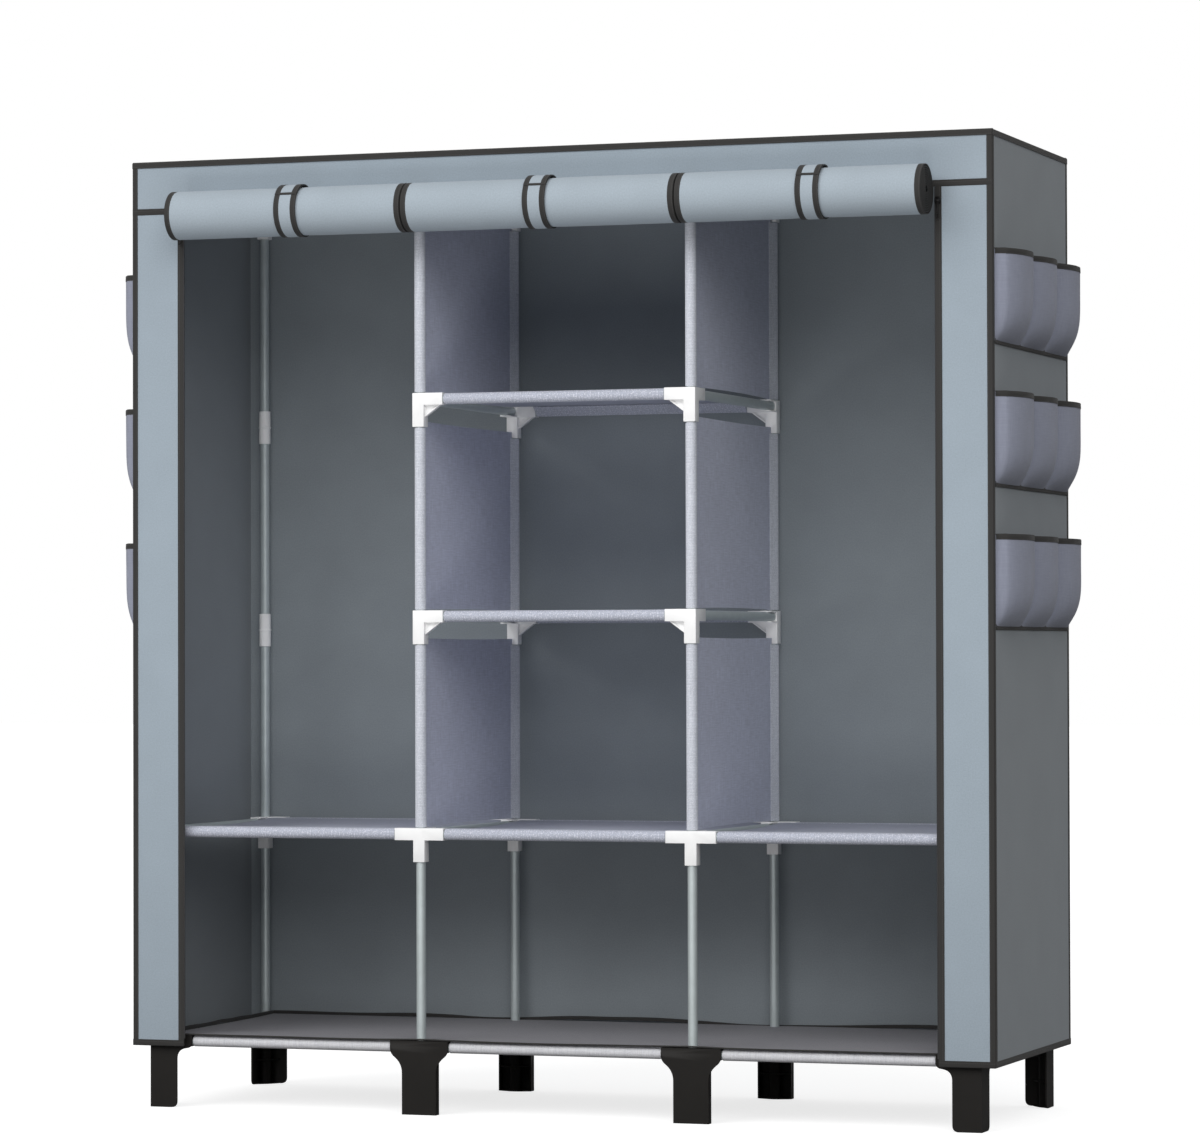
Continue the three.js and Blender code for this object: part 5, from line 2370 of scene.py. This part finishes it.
        def across(reach: float) -> list[Vector]:
            """Both ends of a bar along the eye's axis."""
            return [Vector((x + way * reach, y, z)) for way in (-1, 1)]

        parts = [
            plate("tab", [Vector((u, y - thick / 2, v)) for u, v in tab], Y * thick),
            bar("eye", *across(half), self.eye_radius, 24),
        ]
        cuts = [
            plate("slot", [Vector((u, y - thick, v)) for u, v in slot], Y * (2 * thick)),
            bar("bore", *across(OVERRUN), self.eye_bore, 24),
        ]
        label = self.side.label
        whole = moulded(f"zip_pull_{label}_tab", parts, cuts, self.pull_bevel, 40.0)
        body = f"pull_{label}"
        placed(dressed(whole, self.finishes.metal), [f"zip_pull_{label}"], body)


# ---------------------------------------------------------------- studio


@dataclass
class Studio:
    """The pale floor, the soft light and the camera."""

    camera_place: tuple[float, float, float] = (2.6574, -7.4818, 0.7605)
    yaw: float = 0.33945
    pitch: float = 0.01736
    roll: float = -0.00264
    lens: float = 142.19
    sky: float = 0.50
    key: float = 0.365
    key_from: tuple[float, float, float] = (-0.40, -0.74, 0.60)
    key_spread: float = 40.0
    fill: float = 0.28
    fill_from: tuple[float, float, float] = (0.36, -0.78, 0.52)
    fill_spread: float = 40.0
    reflector_strength: float = 2.55
    reflector_size: tuple[float, float] = (3.0, 2.0)
    reflector_place: tuple[float, float, float] = (0.0, -2.5, 0.02)
    floor_tone: float = 0.15
    seen_glow: float = 0.76
    seen_tone: float = 0.5

    def world(self) -> None:
        """White to the eye and through transmission, and softer as a light and in reflections."""
        world = bpy.data.worlds.new("studio")
        bpy.context.scene.world = world
        world.use_nodes = True
        tree = world.node_tree
        tree.nodes.clear()
        path = tree.nodes.new("ShaderNodeLightPath")
        seen = tree.nodes.new("ShaderNodeMath")
        seen.operation = "MAXIMUM"
        tree.links.new(path.outputs["Is Camera Ray"], seen.inputs[0])
        tree.links.new(path.outputs["Is Transmission Ray"], seen.inputs[1])
        strength = tree.nodes.new("ShaderNodeMapRange")
        strength.inputs["To Min"].default_value = self.sky
        strength.inputs["To Max"].default_value = 1.0
        tree.links.new(seen.outputs[0], strength.inputs["Value"])
        light = tree.nodes.new("ShaderNodeBackground")
        tree.links.new(strength.outputs["Result"], light.inputs["Strength"])
        output = tree.nodes.new("ShaderNodeOutputWorld")
        tree.links.new(light.outputs[0], output.inputs["Surface"])
        light.inputs["Color"].default_value = (1.0, 1.0, 1.0, 1.0)

    def floor(self) -> None:
        """A wide pale floor that keeps the wardrobe's shadow."""
        deselect()
        bpy.ops.mesh.primitive_plane_add(size=80.0)
        floor = settled("studio_floor")
        recipe = Recipe("pale_floor")
        seen = recipe.wire("ShaderNodeLightPath", output="Is Camera Ray")
        plain, shade = (
            recipe.wire("ShaderNodeBsdfDiffuse", {}, {"Color": (tone, tone, tone, 1.0)})
            for tone in (self.floor_tone, self.seen_tone)
        )
        white = {"Color": (1.0, 1.0, 1.0, 1.0), "Strength": self.seen_glow}
        glow = recipe.wire("ShaderNodeEmission", {}, white)
        both = recipe.wire("ShaderNodeAddShader", {}, {0: glow, 1: shade})
        mixed = recipe.wire("ShaderNodeMixShader", {}, {0: seen, 1: plain, 2: both})
        recipe.node("ShaderNodeOutputMaterial", {}, {"Surface": mixed})
        floor.data.materials.append(recipe.material)

    def lamp(
        self, name: str, strength: float, source: tuple[float, float, float], spread: float
    ) -> None:
        """A soft light from far away.

        Args:
            name: The lamp's name.
            strength: The share of full white that it gives a white face square to it.
            source: Direction towards the lamp.
            spread: Its apparent width in degrees.
        """
        data = bpy.data.lights.new(name, "SUN")
        data.energy = strength * math.pi
        data.angle = math.radians(spread)
        lamp = bpy.data.objects.new(name, data)
        lamp.rotation_euler = Vector(source).to_track_quat("Z", "Y").to_euler()
        lamp.location = Vector(source) * 4
        bpy.context.scene.collection.objects.link(lamp)

    def reflector(self) -> None:
        """A broad soft light low in front, out of the picture, that reaches under the rolls."""
        data = bpy.data.lights.new("reflector", "AREA")
        data.shape = "RECTANGLE"
        data.size, data.size_y = self.reflector_size
        data.energy = self.reflector_strength * math.pi * data.size * data.size_y
        lamp = bpy.data.objects.new("reflector", data)
        lamp.rotation_euler = (math.pi, 0.0, 0.0)
        lamp.location = self.reflector_place
        lamp.visible_camera = False
        bpy.context.scene.collection.objects.link(lamp)

    def camera(self) -> None:
        """The camera at the photograph's place and angle."""
        data = bpy.data.cameras.new("camera")
        data.lens = self.lens
        data.sensor_width = 36.0
        data.sensor_fit = "HORIZONTAL"
        data.clip_end = 200.0
        ahead = Vector(
            (
                -math.sin(self.yaw) * math.cos(self.pitch),
                math.cos(self.yaw) * math.cos(self.pitch),
                math.sin(self.pitch),
            )
        )
        right = Vector((math.cos(self.yaw), math.sin(self.yaw), 0.0))
        up = right.cross(ahead)
        turned_right = right * math.cos(self.roll) + up * math.sin(self.roll)
        turned_up = up * math.cos(self.roll) - right * math.sin(self.roll)
        basis = Matrix((turned_right, turned_up, -ahead)).transposed().to_4x4()
        camera = bpy.data.objects.new("camera", data)
        camera.matrix_world = Matrix.Translation(self.camera_place) @ basis
        bpy.context.scene.collection.objects.link(camera)
        bpy.context.scene.camera = camera

    def build(self) -> None:
        """Set up the whole studio."""
        self.world()
        self.floor()
        self.lamp("key_light", self.key, self.key_from, self.key_spread)
        self.lamp("fill_light", self.fill, self.fill_from, self.fill_spread)
        self.reflector()
        self.camera()
        bpy.context.scene.view_settings.view_transform = "Standard"


def main() -> None:
    """Build every sub-assembly in order."""
    logging.basicConfig(level=logging.INFO, format="%(name)s %(message)s")
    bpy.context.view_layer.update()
    finishes = Finishes.build()
    Studio().build()
    for post in Post:
        SideFrame(post, finishes).build()
    connectors = Connectors()
    for level in Level:
        for row in Row:
            Rail(level, row, connectors, finishes).build()
    connectors.clear()
    Feet(finishes).build()
    for bay in ("left", "right"):
        HangingRod(bay, finishes).build()
    for bay in BAYS:
        Shelf(Level.LOWER, bay, finishes).build()
    for level in (Level.MIDDLE, Level.UPPER):
        Shelf(level, "middle", finishes).build()
    BaseSheet(finishes).build()
    levels = list(Level)
    for side in Side:
        for low, high in zip(levels, levels[1:]):
            Partition(side, low, high, finishes).build()
    Cover(finishes).build()
    for side in Side:
        for i, row in enumerate(("upper", "middle", "lower")):
            PocketRow(side, row, BOX.top - POCKET_TOP - POCKET_PITCH * i, finishes).build()
    for bay, start, end, strap in (
        ("left", -0.652, -0.232, -0.434),
        ("middle", -0.229, 0.241, 0.004),
        ("right", 0.244, 0.652, 0.466),
    ):
        Curtain(bay, start, end, strap, finishes).build()
    for side in Side:
        Zip(side, finishes).build()


if __name__ == "__main__":
    main()
